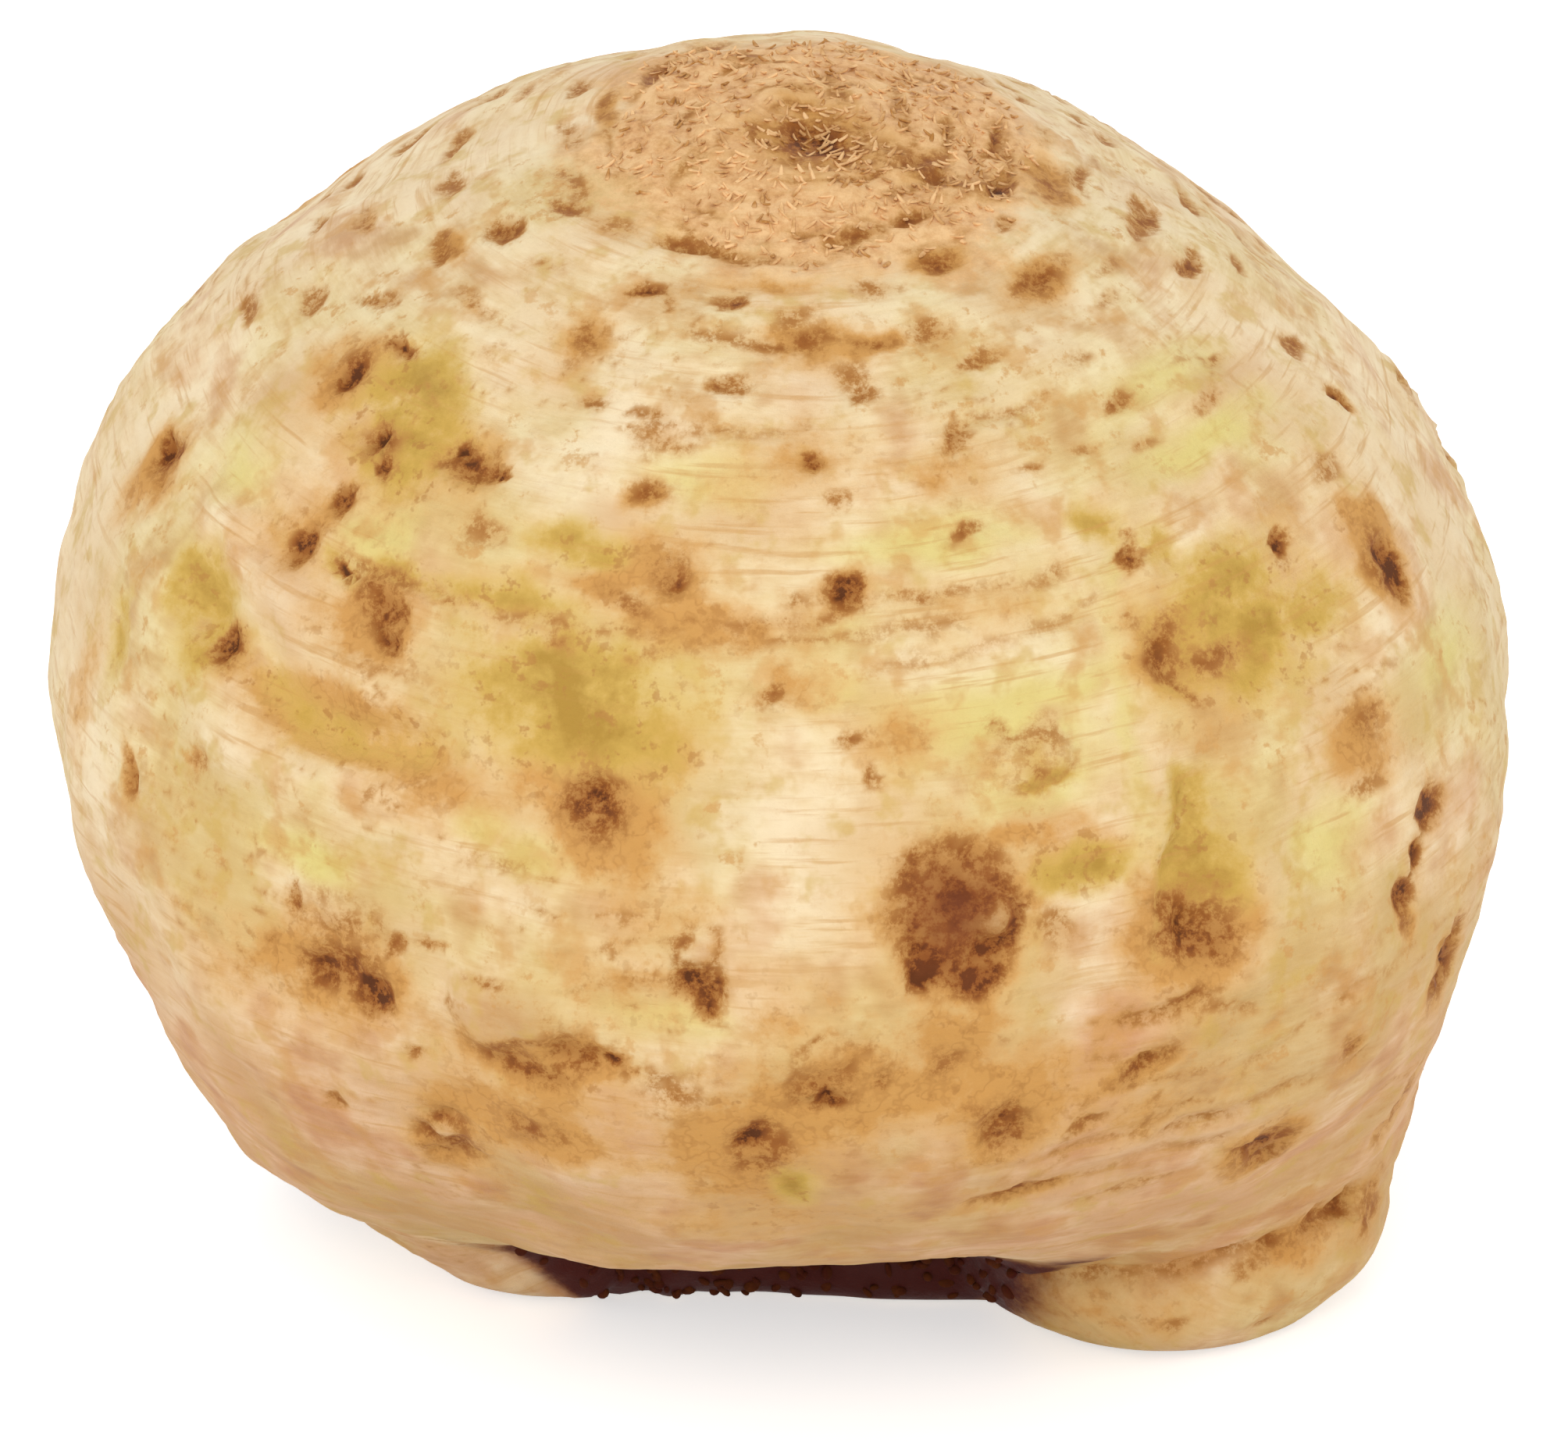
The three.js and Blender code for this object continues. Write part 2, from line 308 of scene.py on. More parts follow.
# Stains, pits and root scars of the front, from the left edge to the right.
FRONT_MARKS = [
    # left shoulder, under the last leaf scars
    Mark("olive", -46, 49, 9, 8, -35),
    Mark("rust", -58, 48, 6, 4, 25),
    Mark("pit", -54, 50.5, 2.2, 1.6),
    Mark("pit", -58, 47.5, 2.6, 1.8),
    Mark("rust", -48, 43.8, 6, 4),
    Mark("pit", -49, 44.5, 1.6, 1.8),
    Mark("pit", -46, 42, 2, 1.6),
    Mark("scar", -36.5, 45.5, 4.6, 3.6),
    Mark("pit", -38, 47, 1.8, 1.4),
    Mark("pit", -32.5, 45, 1.5, 1.6),
    Mark("scar", -74, 32, 4.5, 4.5),
    Mark("pit", -75, 32, 2, 3.4, 30),
    # pocket beside the green patch
    Mark("tan", -50, 36.5, 5, 6, -30),
    Mark("pit", -48.5, 38.3, 1.8, 2.6, -20),
    Mark("pit", -50.5, 34.3, 2.8, 3.4, -20),
    Mark("green", -42, 38, 9, 7.5),
    Mark("green", -42, 37, 5, 5),
    Mark("faint", -31, 41, 4.5, 2.4),
    Mark("olive", -37, 35.4, 8, 2),
    Mark("olive", -28, 36.3, 13, 2.6),
    Mark("olive", -45, 34, 5, 1.6, -20),
    Mark("pit", -44.5, 34, 2.8, 0.9, -15),
    Mark("rust", -39.5, 32.5, 5, 5, -20),
    Mark("scar", -37.5, 31.5, 3.6, 4.6),
    Mark("pit", -37, 29.6, 2.4, 1.6),
    # crescent groove and what lies round it
    Mark("olive", -59, 27.5, 6, 6),
    Mark("olive", -56, 24, 5, 5),
    Mark("rust", -53, 24, 4, 4),
    Mark("pit", -54, 24.5, 2.6, 3),
    Mark("olive", -66, 20, 2.6, 8),
    Mark("faint", -21, 33, 3, 2.2),
    Mark("scar", -60.5, 11, 1.6, 4, 35),
    Mark("faint", -53, 15, 3, 2.6),
    # middle
    Mark("olive", -21, 41, 8, 3),
    Mark("faint", -14, 46, 4, 2.6),
    Mark("rust", -14.5, 45.7, 3, 2.4),
    Mark("rust", -11.5, 40.3, 5.5, 4.6),
    Mark("scar", -10.5, 39.7, 2.6, 2.6),
    Mark("rust", -15, 37.5, 6, 1.8, -15),
    Mark("pit", 7, 39.5, 2.8, 3),
    Mark("rust", 6.6, 38.8, 4.4, 3.4),
    Mark("faint", 2, 39, 2.8, 2),
    Mark("olive", -18, 29, 17, 9),
    Mark("ochre", -12, 27, 10, 5),
    Mark("ochre", -17, 24.5, 12, 8),
    Mark("rust", -16, 22, 7.5, 7),
    Mark("scar", -15.6, 21.6, 5, 4.6),
    Mark("green", -25, 18.4, 4.5, 3.4),
    Mark("leaf", 0, 31, 2.2, 2),
    Mark("leaf", 7, 27, 2.2, 1.3),
    Mark("leaf", 8.5, 24.6, 1.3, 1.8),
    Mark("green", 22, 24.3, 13, 9),
    Mark("leaf", 19.2, 26.8, 1.2, 2.4, 30),
    Mark("scab", 22.2, 24.4, 6.4, 5.6),
    Mark("olive", 22.4, 22.8, 5, 1.6),
    Mark("olive", 25, 15, 8, 3.4),
    # the largest root scar
    Mark("ochre", 13.8, 13, 13, 15),
    Mark("root scar", 13.8, 13.2, 9.4, 11.6, 10),
    Mark("crust", 11.4, 10.2, 3.6, 4.2, -20),
    Mark("crust", 14.8, 8.8, 5, 2.2, 10),
    Mark("crust", 18.2, 12.2, 1.8, 4.4),
    Mark("crust", 13.5, 14, 2.4, 2),
    Mark("crust", 10.6, 13, 1.6, 3.4, 10),
    Mark("pit", 10.8, 8.6, 1.6, 1.4),
    Mark("pit", 16.5, 10.3, 2.6, 1.5, 20),
    Mark("lump", 16.9, 12.4, 2.2, 2.8),
    Mark("rust", 20, 14, 3, 1.6, -40),
    Mark("faint", 21.5, 11, 3, 4, 30),
    # right
    Mark("olive", 34.5, 41.2, 3.6, 4.4, 20),
    Mark("pit", 36, 37, 1.9, 2.3, -20),
    Mark("leaf", 36.6, 39.4, 1.3, 1.3),
    Mark("olive", 39.5, 38, 3.4, 3.6),
    Mark("pit", 52, 33.3, 2.2, 2.2),
    Mark("ochre", 61, 31, 4, 6, -20),
    Mark("rust", 62, 28, 5, 7.5, -20),
    Mark("pit", 63, 26.5, 3, 5.4, -20),
    Mark("faint", 34, 33, 1.8, 1.8),
    Mark("olive", 43, 32.5, 13, 7, 20),
    Mark("olive", 46, 28, 18, 8),
    Mark("ochre", 38, 29, 9, 9),
    Mark("rust", 36.5, 30, 5.5, 6),
    Mark("rust", 40.5, 28, 9, 3.4),
    Mark("rust", 35.5, 28.6, 4, 4),
    Mark("leaf", 37, 26, 1.2, 3.4, 30),
    Mark("rust", 52.5, 18, 5, 4),
    Mark("faint", 50.5, 14.6, 5, 2.4),
    # upright groove, widening downwards from a point
    Mark("olive", 35.3, 18.2, 3.6, 6, 8),
    Mark("olive", 34.8, 15.5, 5, 8, 8),
    Mark("olive", 34, 12.5, 6.5, 8, 8),
    Mark("ochre", 33, 9.6, 10, 12),
    Mark("ochre", 32.2, 7.6, 9, 8),
    Mark("rust", 32.6, 8.6, 9, 7.5),
    Mark("rust", 33.4, 7.6, 5.5, 4.4),
    Mark("rust", 31.4, 10, 5, 6),
    Mark("rust", 34.8, 6.6, 6, 3.4),
    Mark("leaf", 32, 3.6, 7, 1.4, 10),
    Mark("leaf", 36.8, 9.4, 1.4, 1.4),
    Mark("leaf", 36, 11.4, 1, 1),
    # chain of pits near the right edge
    Mark("pit", 57.5, 9.5, 3.4, 4),
    Mark("pit", 55.2, 6.8, 2.4, 2.2),
    Mark("pit", 53.8, 4.2, 3, 3.4),
    Mark("rust", 53.6, 2, 2.4, 3),
    Mark("rust", 60, -6, 4, 7, 15),
    Mark("pit", 62, -4.6, 3.4, 6.4, 12),
    Mark("scar", 47.5, -6, 3, 3),
    # lower front
    Mark("crinkled", -36.3, 8, 9, 5),
    Mark("leaf", -41, 8, 1.6, 3),
    Mark("leaf", -31, 7, 1.6, 2.4),
    Mark("rust", -35.7, 3.4, 10, 7),
    Mark("scar", -37.6, 3, 5, 4.4),
    Mark("pit", -33.6, 2.6, 3.6, 3.4),
    Mark("leaf", -43, 4, 1.8, 1.4),
    Mark("leaf", -29, 8, 2, 1.5),
    Mark("leaf", -30, -2, 1.8, 1.5),
    Mark("leaf", -38, -10, 2, 2),
    # the dark crescent under the knob: pits whose dark colour is partly painted shade
    Mark("pit", -6.3, 8.6, 4.4, 2.4),
    Mark("pit", -5.6, 7.2, 2, 1.6),
    Mark("knob", -6.4, 11.2, 4, 3.6),
    Mark("ochre", -18, 0.5, 11, 4),
    Mark("peach", -22, 4, 10, 6),
    Mark("knob", -22, 3.6, 8.5, 5, -8),
    # the soft brown crescent and rust just under the knob are painted shade
    Mark("faint", -21, -0.6, 10, 2, -8),
    Mark("rust", -19.5, 0, 11, 4, -8),
    Mark("scar", -15.6, 1.8, 4.4, 4),
    Mark("pit", -12.6, 1.2, 4, 1.2, -30),
    Mark("rust", -28, -11.5, 7, 8),
    Mark("scar", -28, -11.8, 5, 6),
    Mark("knob", -28.5, -11, 2.6, 2),
    Mark("ochre", -21, -7, 13, 6),
    Mark("rust", -20, -7, 8, 3.6),
    Mark("pit", -1.7, -4.4, 1.9, 2.2),
    Mark("ochre", -1.4, -6, 11, 12),
    Mark("rust", -1.5, -5.4, 8, 8),
    Mark("olive", 1, -10, 3.4, 6),
    Mark("crinkled", 4.6, 2, 7.5, 6.4),
    Mark("leaf", 7.5, 1, 1.4, 2),
    Mark("rust", 4, -0.6, 7, 5),
    Mark("pit", 4, -1.4, 2, 1.3),
    Mark("rust", 13, 1, 5, 4),
    Mark("rust", 17.5, -4.8, 6, 8),
    Mark("scar", 17.5, -5, 3.4, 5.4),
    Mark("rust", 15, -3, 4, 1.4),
    Mark("crinkled", -8, -1, 4.6, 4),
    Mark("rust", 28, -2, 9, 3, 25),
    Mark("scar", 30, -0.6, 3.4, 1.8, 30),
    Mark("leaf", 24, -6, 3.4, 1.4, 14),
    Mark("rust", 43.5, -16, 8, 9, 10),
    Mark("scar", 43, -16.2, 4.8, 5, 10),
    Mark("faint", 57, -39, 4, 1.6),
    Mark("tan", 47, -47, 20, 7),
    Mark("rust", 20, -14, 9, 2.4),
    Mark("faint", 31, -17, 10, 2, 8),
    Mark("faint", 60, -44, 2.4, 1.8),
    Mark("faint", 46, -43, 3, 1.4),
    Mark("faint", 41, -52, 4, 1.6),
    Mark("leaf", 65, -36, 1.6, 3),
    Mark("leaf", 69, -35, 1.4, 4),
    Mark("faint", 52, -45, 3, 2),
    # rootlets snapped off short along the right edge, down to the fold above the lobe
    Mark("rooted", 60, -5, 4, 7),
    Mark("rooted", 66, -22, 5, 12),
    Mark("rooted", 72, -36, 6, 7),
    Mark("rooted", 84, -28, 9, 12),
    Mark("rooted", -72, -20, 8, 9),
]


class Furrow(NamedTuple):
    """A long fold of the skin through several places: sunk if depth is positive, a ridge if not."""

    places: list
    depth: float
    width: float
    stain: str
    strength: float


FURROWS = [
    # crescent groove on the left with the pale ridge above it
    Furrow([(-57, 26), (-50, 24.5), (-44, 22.5), (-38, 22), (-31, 24)], 1.1, 2.2, "olive", 0.5),
    Furrow([(-50, 23.5), (-44, 21.5), (-38, 21), (-30, 23)], 0.2, 1.4, "ochre", 0.9),
    Furrow([(-62, 33), (-55, 31), (-47, 29), (-40, 27), (-34, 25.5)], -0.6, 1.5, "pale", 0.5),
    # upright groove on the right
    Furrow([(36, 20), (35, 16), (33.5, 11), (33, 8)], 1.1, 2.2, "olive", 0.3),
    Furrow([(35.6, 19.5), (33, 15), (31, 11), (30, 7)], 0.5, 0.7, "olive", 0.5),
    # folds low on the right, above the lobe
    Furrow([(26, 2.5), (32, 3), (38, 1)], 0.6, 0.9, "brown", 0.3),
    Furrow([(22, -9), (28, -9), (34, -7)], 0.4, 0.9, "brown", 0.3),
    Furrow([(32, -11), (40, -9), (50, -8)], 0.5, 0.9, "brown", 0.3),
    Furrow([(16, -15), (26, -14), (38, -13)], 0.4, 1.0, "brown", 0.25),
    Furrow([(38, -4), (46, -1), (54, 0)], 0.3, 0.8, "brown", 0.25),
    # fold between the body and the large lobe
    Furrow([(43, -50), (48, -44), (55, -39), (62, -37), (70, -35)], 1.0, 0.9, "brown", 0.4),
    # long fine folds round the middle
    Furrow([(-45, 35), (-30, 35), (-18, 35), (-8, 36), (4, 37), (16, 38), (28, 38)], 0.3, 0.8, "brown", 0.3),
    Furrow([(-14, 33), (-4, 35), (6, 35), (18, 36)], 0.25, 0.7, "brown", 0.25),
    Furrow([(8, 33.5), (16, 33), (24, 34), (31, 35)], 0.25, 0.7, "brown", 0.2),
    Furrow([(-18, 53), (-8, 52), (4, 53)], 0.2, 0.6, "brown", 0.3),
    Furrow([(20, 51), (32, 51), (44, 53)], 0.2, 0.6, "brown", 0.25),
    # rims of the crown, one above the other
    Furrow([(-22, 70), (-5, 69), (10, 69), (24, 70)], 0.3, 0.8, "brown", 0.3),
    Furrow([(-12, 66), (0, 65.5), (12, 66), (20, 67)], 0.3, 0.9, "ochre", 0.6),
    Furrow([(-14, 61), (-2, 60), (8, 60)], 0.3, 0.8, "brown", 0.35),
]

# The sharp edge right of the middle: the skin drops to its right and rises again slowly.
STEP = [(35, 37), (32.5, 31), (31.5, 24), (31, 17), (29.5, 12)]
STEP_DEPTH = 0.9
STEP_WIDTH = 0.9
STEP_RUN = 9.0  # within which the skin rises again
STEP_REACH = 14.0  # how far from its line the step begins to fade
STEP_FADE = math.sqrt(60.0)

# How far each broad or fine irregularity of the skin reaches across, and how high it stands.
LUMPS = [(34.0, 1.3), (15.0, 0.85), (7.0, 0.4), (3.2, 0.16)]

WRINKLE_LENGTH = 11.0
WRINKLE_SPACING = 1.7
WRINKLE_HEIGHT = 0.26

# The crown: the places of its growing point, its disc's middle and the end of its torn fibres.
GROWING_POINT = (30, 84.5)
CROWN_MIDDLE = (60, 86)
FIBRES_END = (62, 72)
CROWN_RADIUS = 18.5
CROWN_EDGE = 6.0
RING_SPACING = 2.9
TIP_DEPTH, TIP_REACH = 0.9, 3.6  # the pit at the growing point
WALL_HEIGHT, WALL_RADIUS, WALL_WIDTH = 0.3, 6.5, 2.2  # the low wall round it

# The fold round the small lobe at the front left is hardly one: the lobe flows out of the body.
SOFT_FOLD = np.array([-27.0, -14.0, 13.0])
SOFT_FOLD_REACH = 15.0
SOFTER = 12  # how many times as much as the other folds it is softened
LAST_SMOOTHING = 0.35  # of the finished skin, to take the edge off what is smaller than its faces

# Pale lobes at the front of the root plate: middle and half size in x, then in y.
FRONT_LOBES = [(-27.0, 13.0, -9.0, 10.5), (39.0, 25.0, -3.0, 34.0)]

# Soil caked on the front of the plate has slumped forward where the plate stands furthest back.
SLUMP_X, SLUMP_HALF_WIDTH = -13.0, 7.0
SLUMP_Y, SLUMP_HALF_DEPTH = -11.0, 6.0
SLUMP_RUN = 3.4
CAKE_THICKNESS = 0.8

# Bands in which something comes or goes, from where it starts to change to where it has. The first six
# are places in the frame, in millimetres, and the others azimuths or elevations on the skin.
FLAT_FOOT = (0.2, 3.0)
PLATE_FRONT = (-14.0, -4.0)
PLATE_LEFT = (-32.0, -24.0)
PLATE_RIGHT = (26.0, 34.0)
CLEFT_TOP = (16.0, 24.0)
SLUMP_TOP = (5.0, 11.0)
SIDES = (52.0, 84.0)
SIDES_FOOT = (-24.0, 0.0)
SHOULDER_FOOT = (42.0, 56.0)
SHOULDER_TOP = (64.0, 74.0)
BLUSH_FOOT = (30.0, 50.0)
LOWER_HALF = (-16.0, 12.0)
LOBES_TOP = (-44.0, -32.0)

# Leaf scars are wound down from the growing point, each a golden angle on from the last.
GOLDEN_ANGLE = 137.508
SCAR_SPACING = 3.5
FIRST_SCAR = 14  # those before it would lie on the growing point
LEAST_GAP = 5.2  # from a listed mark

# The sides and back: the azimuths that they span, and the sines of the elevations.
HIDDEN_AZIMUTHS = (95, 262)
HIDDEN_SINES = (-0.6, 0.66)
SCATTERED_KINDS = (
    "green", "ochre", "tan", "pale", "olive", "rust", "crinkled", "rooted", "scar", "old scar", "faint", "pit"
)
SCATTERED_WIDTHS = {
    "pit": 2.6, "faint": 3.4, "scar": 4.4, "rust": 6.0, "old scar": 6.0, "crinkled": 7.0, "olive": 8.0
}
SCATTERED_WIDTH = 11.0  # of every other kind

# Parts of a mark, as shares of its radius.
CORE_END = 1.45
RIM_RADIUS, RIM_WIDTH = 1.25, 0.3

NOISE_CELLS = 32  # lumps after which the noise repeats
NOISE_GAIN = 1.6  # brings the noise to about -1 to 1


def direction(azimuth, elevation):
    """The unit vector that points that way from the root's middle."""
    a, e = math.radians(azimuth), math.radians(elevation)
    return np.array([math.sin(a) * math.cos(e), -math.cos(a) * math.cos(e), math.sin(e)])


def smooth(low, high, value):
    """0 below low, 1 above high, and an S-curve between them."""
    t = np.clip((value - low) / (high - low), 0.0, 1.0)
    return t * t * (3.0 - 2.0 * t)


def hump(value, width):
    """1 where a value is nought, falling off like a bell within about the width."""
    return np.exp(-((value / width) ** 2))


def gradient_noise(points, size, seed):
    """A smooth random field from about -1 to 1, whose lumps are about size across."""
    table = np.random.default_rng(seed).normal(size=(NOISE_CELLS, NOISE_CELLS, NOISE_CELLS, 3))
    table /= np.linalg.norm(table, axis=-1, keepdims=True)
    q = points / size
    cell = np.floor(q).astype(int)
    inside = q - cell
    blend = inside**3 * (inside * (inside * 6.0 - 15.0) + 10.0)
    total = np.zeros(len(points))
    for corner in np.ndindex(2, 2, 2):
        gradient = table[tuple((cell + corner).T % NOISE_CELLS)]
        weight = np.prod(np.where(corner, blend, 1.0 - blend), axis=1)
        total += weight * np.einsum("ij,ij->i", gradient, inside - corner)
    return total * NOISE_GAIN


# ---------------------------------------------------------------------------------------------------
# The skin as numbers
# ---------------------------------------------------------------------------------------------------


class Skin:
    """The root's skin while it is being worked: points and normals in millimetres, relief and stains.

    Each layer of noise has its own size and its own fixed seed, given together where it is used.
    """

    TINTS = ("ochre", "olive", "green", "pale", "peach", "soil", "rootlets")
    STAINS = ("brown", "crown", *TINTS)
    EVERYWHERE = slice(None)

    def __init__(self, points, normals):
        self.points = points
        self.normals = normals
        self.relief = np.zeros(len(points))
        self.slumped = np.zeros((len(points), 3))
        self.stain = {name: np.zeros(len(points)) for name in self.STAINS}
        outward = points - MIDDLE
        self.outward = outward / np.linalg.norm(outward, axis=1, keepdims=True)
        self.azimuth = np.degrees(np.arctan2(self.outward[:, 0], -self.outward[:, 1]))
        self.elevation = np.degrees(np.arcsin(self.outward[:, 2]))
        self.from_crown = np.radians(90.0 - self.elevation) * MEAN_RADIUS
        # places that have strayed up to a millimetre, so that no outline drawn through them is even
        drift = [self.noise(4.0, seed) for seed in (11, 12, 13)]
        self.wandering = points + 0.9 * np.stack(drift, axis=1)
        self.grit = self.noise(1.5, 21) + 0.6 * self.noise(3.1, 22)
        # the cut faces that the root stands on keep flat
        self.free = smooth(*FLAT_FOOT, points[:, 2])

    def noise(self, size, seed):
        return gradient_noise(self.points, size, seed)

    def place(self, azimuth, elevation):
        """The point of the skin that lies that way from the middle, with its normal."""
        nearest = np.argmax(self.outward @ direction(azimuth, elevation))
        return self.points[nearest], self.normals[nearest]

    def add_stain(self, name, near, value):
        """A stain deepens what is there, without passing the stronger of the two by much."""
        old = self.stain[name][near]
        self.stain[name][near] = np.maximum(old, value) + 0.3 * np.minimum(old, value)

    def mark(self, mark):
        """Makes one mark: r is 0 at its middle, 1 along its ragged outline, and more beyond."""
        kind = KINDS[mark.kind]
        middle, normal = self.place(mark.azimuth, mark.elevation)
        across = np.cross([0.0, 0.0, 1.0], normal)
        across /= np.linalg.norm(across) + 1e-9
        upward = np.cross(normal, across)
        farthest = 1.3 * max(mark.width, mark.height) + 1.5
        near = np.flatnonzero(np.sum((self.points - middle) ** 2, axis=1) < farthest**2)
        size = math.sqrt(mark.width * mark.height)
        torn = gradient_noise(self.points[near], max(1.6, 0.45 * size), 91)
        frayed = gradient_noise(self.points[near], 1.7, 92)
        offset = self.wandering[near] - middle
        u, v = offset @ across, offset @ upward
        turn = math.radians(mark.turn)
        along = u * math.cos(turn) + v * math.sin(turn)
        beside = v * math.cos(turn) - u * math.sin(turn)
        r = np.hypot(along / (mark.width / 2), beside / (mark.height / 2)) + kind.torn * torn
        r += 0.25 * frayed * min(1.0, 3.0 / size)

        core = 1.0 - smooth(kind.edge, CORE_END, r)
        rim = hump(r - RIM_RADIUS, RIM_WIDTH) * (0.6 + 0.6 * torn)
        self.relief[near] += kind.rim * rim - kind.sunk * core
        self.relief[near] += kind.rough * 0.5 * self.grit[near] * (1.0 - smooth(0.7, 1.3, r))

        for name in ("brown", "ochre", "olive", "green"):
            self.stain[name][near] *= 1.0 - kind.clears * core
        brown = 0.35 * (1.0 - smooth(0.0, 0.9, r)) + 0.65 * core
        brown *= kind.brown * (1.0 + 0.3 * frayed + 0.2 * torn)
        brown *= 1.0 - 0.4 * kind.rough * smooth(-0.2, 0.6, self.grit[near])
        lip = hump(r - 1.0, max(0.14, 1.2 / size)) * np.clip(0.9 + 1.3 * torn, 0.1, 1.3)
        self.add_stain("brown", near, brown + kind.lip * lip)
        wash = (1.0 - smooth(0.0, kind.reach, r)) * (1.0 + 0.25 * frayed + 0.3 * torn)
        for name in self.TINTS:
            strength = getattr(kind, name)
            if strength:
                self.add_stain(name, near, strength * wash)

    def nearest_on(self, places):
        """Distance to a line through the places, and which side of it each point lies on."""
        knots = np.array([self.place(*p)[0] for p in places])
        best = np.full(len(self.points), np.inf)
        side = np.zeros(len(self.points))
        for a, b in zip(knots[:-1], knots[1:]):
            run = b - a
            t = np.clip((self.wandering - a) @ run / (run @ run), 0.0, 1.0)
            gap = self.wandering - (a + t[:, None] * run)
            distance = np.linalg.norm(gap, axis=1)
            closer = distance < best
            best[closer] = distance[closer]
            turned = np.cross(run, self.outward[closer])
            side[closer] = np.sign(np.sum(gap[closer] * turned, axis=1))
        return best, side

    def furrow(self, furrow):
        """Sinks the bed of a fold and raises low shoulders on both sides of it."""
        distance, _ = self.nearest_on(furrow.places)
        bed = hump(distance, furrow.width) * (1.0 + 0.45 * self.noise(5.0, 93))
        shoulders = hump(distance - 2.1 * furrow.width, furrow.width)
        self.relief += furrow.depth * (0.25 * shoulders - bed)
        near = np.flatnonzero(distance < 3 * furrow.width)
        self.add_stain(furrow.stain, near, furrow.strength * bed[near])

    def step(self):
        """Drops the skin to the right of the step's line, from where it rises again slowly."""
        distance, side = self.nearest_on(STEP)
        right = side * distance
        drop = smooth(-STEP_WIDTH, STEP_WIDTH, right) * np.exp(-np.clip(right, 0, None) / STEP_RUN)
        drop *= hump(np.clip(distance - STEP_REACH, 0, None), STEP_FADE)
        self.relief -= STEP_DEPTH * drop
        near = np.flatnonzero(distance < 2.5)
        self.add_stain("green", near, 0.5 * hump(right[near] - 0.8, 1.2))

    def lumps(self):
        for seed, (size, height) in enumerate(LUMPS, start=31):
            self.relief += height * self.noise(size, seed)

    def wrinkles(self):
        """Fine creases that run round the root, strongest in some bands."""
        x, y, _ = self.points.T
        run = (x / WRINKLE_LENGTH, y / WRINKLE_LENGTH, self.from_crown / WRINKLE_SPACING)
        squeezed = np.stack(run, axis=1)
        squeezed[:, 2] += 0.8 * self.noise(12.0, 41)
        crease = 1.0 - np.abs(gradient_noise(squeezed, 1.0, 42)) * 2.2
        where = smooth(-0.5, 0.7, self.noise(17.0, 43))
        self.relief += WRINKLE_HEIGHT * where * (crease - 0.6)
        self.add_stain("brown", self.EVERYWHERE, 0.26 * where * smooth(0.72, 1.0, crease))

    def crown(self):
        """The brown disc that the leaves grew from: rings of scars round a sunken growing point."""
        tip, _ = self.place(*GROWING_POINT)
        arc = np.linalg.norm(self.points - tip, axis=1)
        disc_middle, _ = self.place(*CROWN_MIDDLE)
        ragged = np.linalg.norm(self.points - disc_middle, axis=1)
        ragged += 3.4 * self.noise(9.0, 51) + 1.6 * self.noise(3.0, 52)
        disc = 1.0 - smooth(CROWN_RADIUS - CROWN_EDGE, CROWN_RADIUS + CROWN_EDGE, ragged)
        self.stain["crown"] = disc
        rings = np.cos((arc + 1.3 * self.noise(7.0, 53)) * 2.0 * math.pi / RING_SPACING)
        broken = 0.5 + 0.8 * self.noise(4.0, 54)
        self.relief += 0.2 * disc * rings * broken + 0.45 * disc * self.grit
        torn = arc + 1.6 * self.noise(2.6, 55)
        hollow = hump(torn, TIP_REACH)
        self.relief += WALL_HEIGHT * hump(arc - WALL_RADIUS, WALL_WIDTH) - TIP_DEPTH * hollow
        self.add_stain("brown", self.EVERYWHERE, 0.72 * hollow)
        self.add_stain("ochre", self.EVERYWHERE, 0.8 * hump(torn, 7.0))
        self.add_stain("brown", self.EVERYWHERE, 0.4 * disc * smooth(0.1, 0.9, -rings * broken))
        # torn fibres trail from the growing point to one side
        distance, _ = self.nearest_on([GROWING_POINT, FIBRES_END])
        self.add_stain("brown", self.EVERYWHERE, 0.4 * hump(distance + 1.2 * self.grit, 2.6))

    def base(self, hollow):
        """Soil and painted shade on the root plate and in the hollows between the lobes, given how deep each
        place lies.
        """
        patchy = 3.5 * self.noise(8.0, 61) + 1.5 * self.noise(3.0, 64)
        x, y, z = self.points.T
        between_lobes = smooth(*PLATE_LEFT, x) * (1.0 - smooth(*PLATE_RIGHT, x))
        front = (1.0 - smooth(*PLATE_FRONT, y)) * between_lobes
        # the soil and its painted shade reach up further where nothing but the plate is seen
        plate_soil_and_shade = 1.0 - smooth(1.0 + 8.0 * front, 12.0 + 4.0 * front, z + patchy)
        # the clefts are darkened by how deep they lie, as painted shade with some soil
        cleft_soil_and_shade = smooth(0.1, 0.9, hollow) * (1.0 - smooth(*CLEFT_TOP, z))
        soil = np.clip((plate_soil_and_shade + 0.8 * cleft_soil_and_shade) * plate_share(self.points), 0, 1) * self.free**0.1
        self.stain["soil"] = soil
        self.relief += CAKE_THICKNESS * soil * front
        slump = hump(x - SLUMP_X, SLUMP_HALF_WIDTH) * hump(y - SLUMP_Y, SLUMP_HALF_DEPTH)
        slump *= 1.0 - smooth(*SLUMP_TOP, z)
        self.slumped[:, 1] -= SLUMP_RUN * slump * (1.0 + 0.4 * self.noise(3.0, 65))

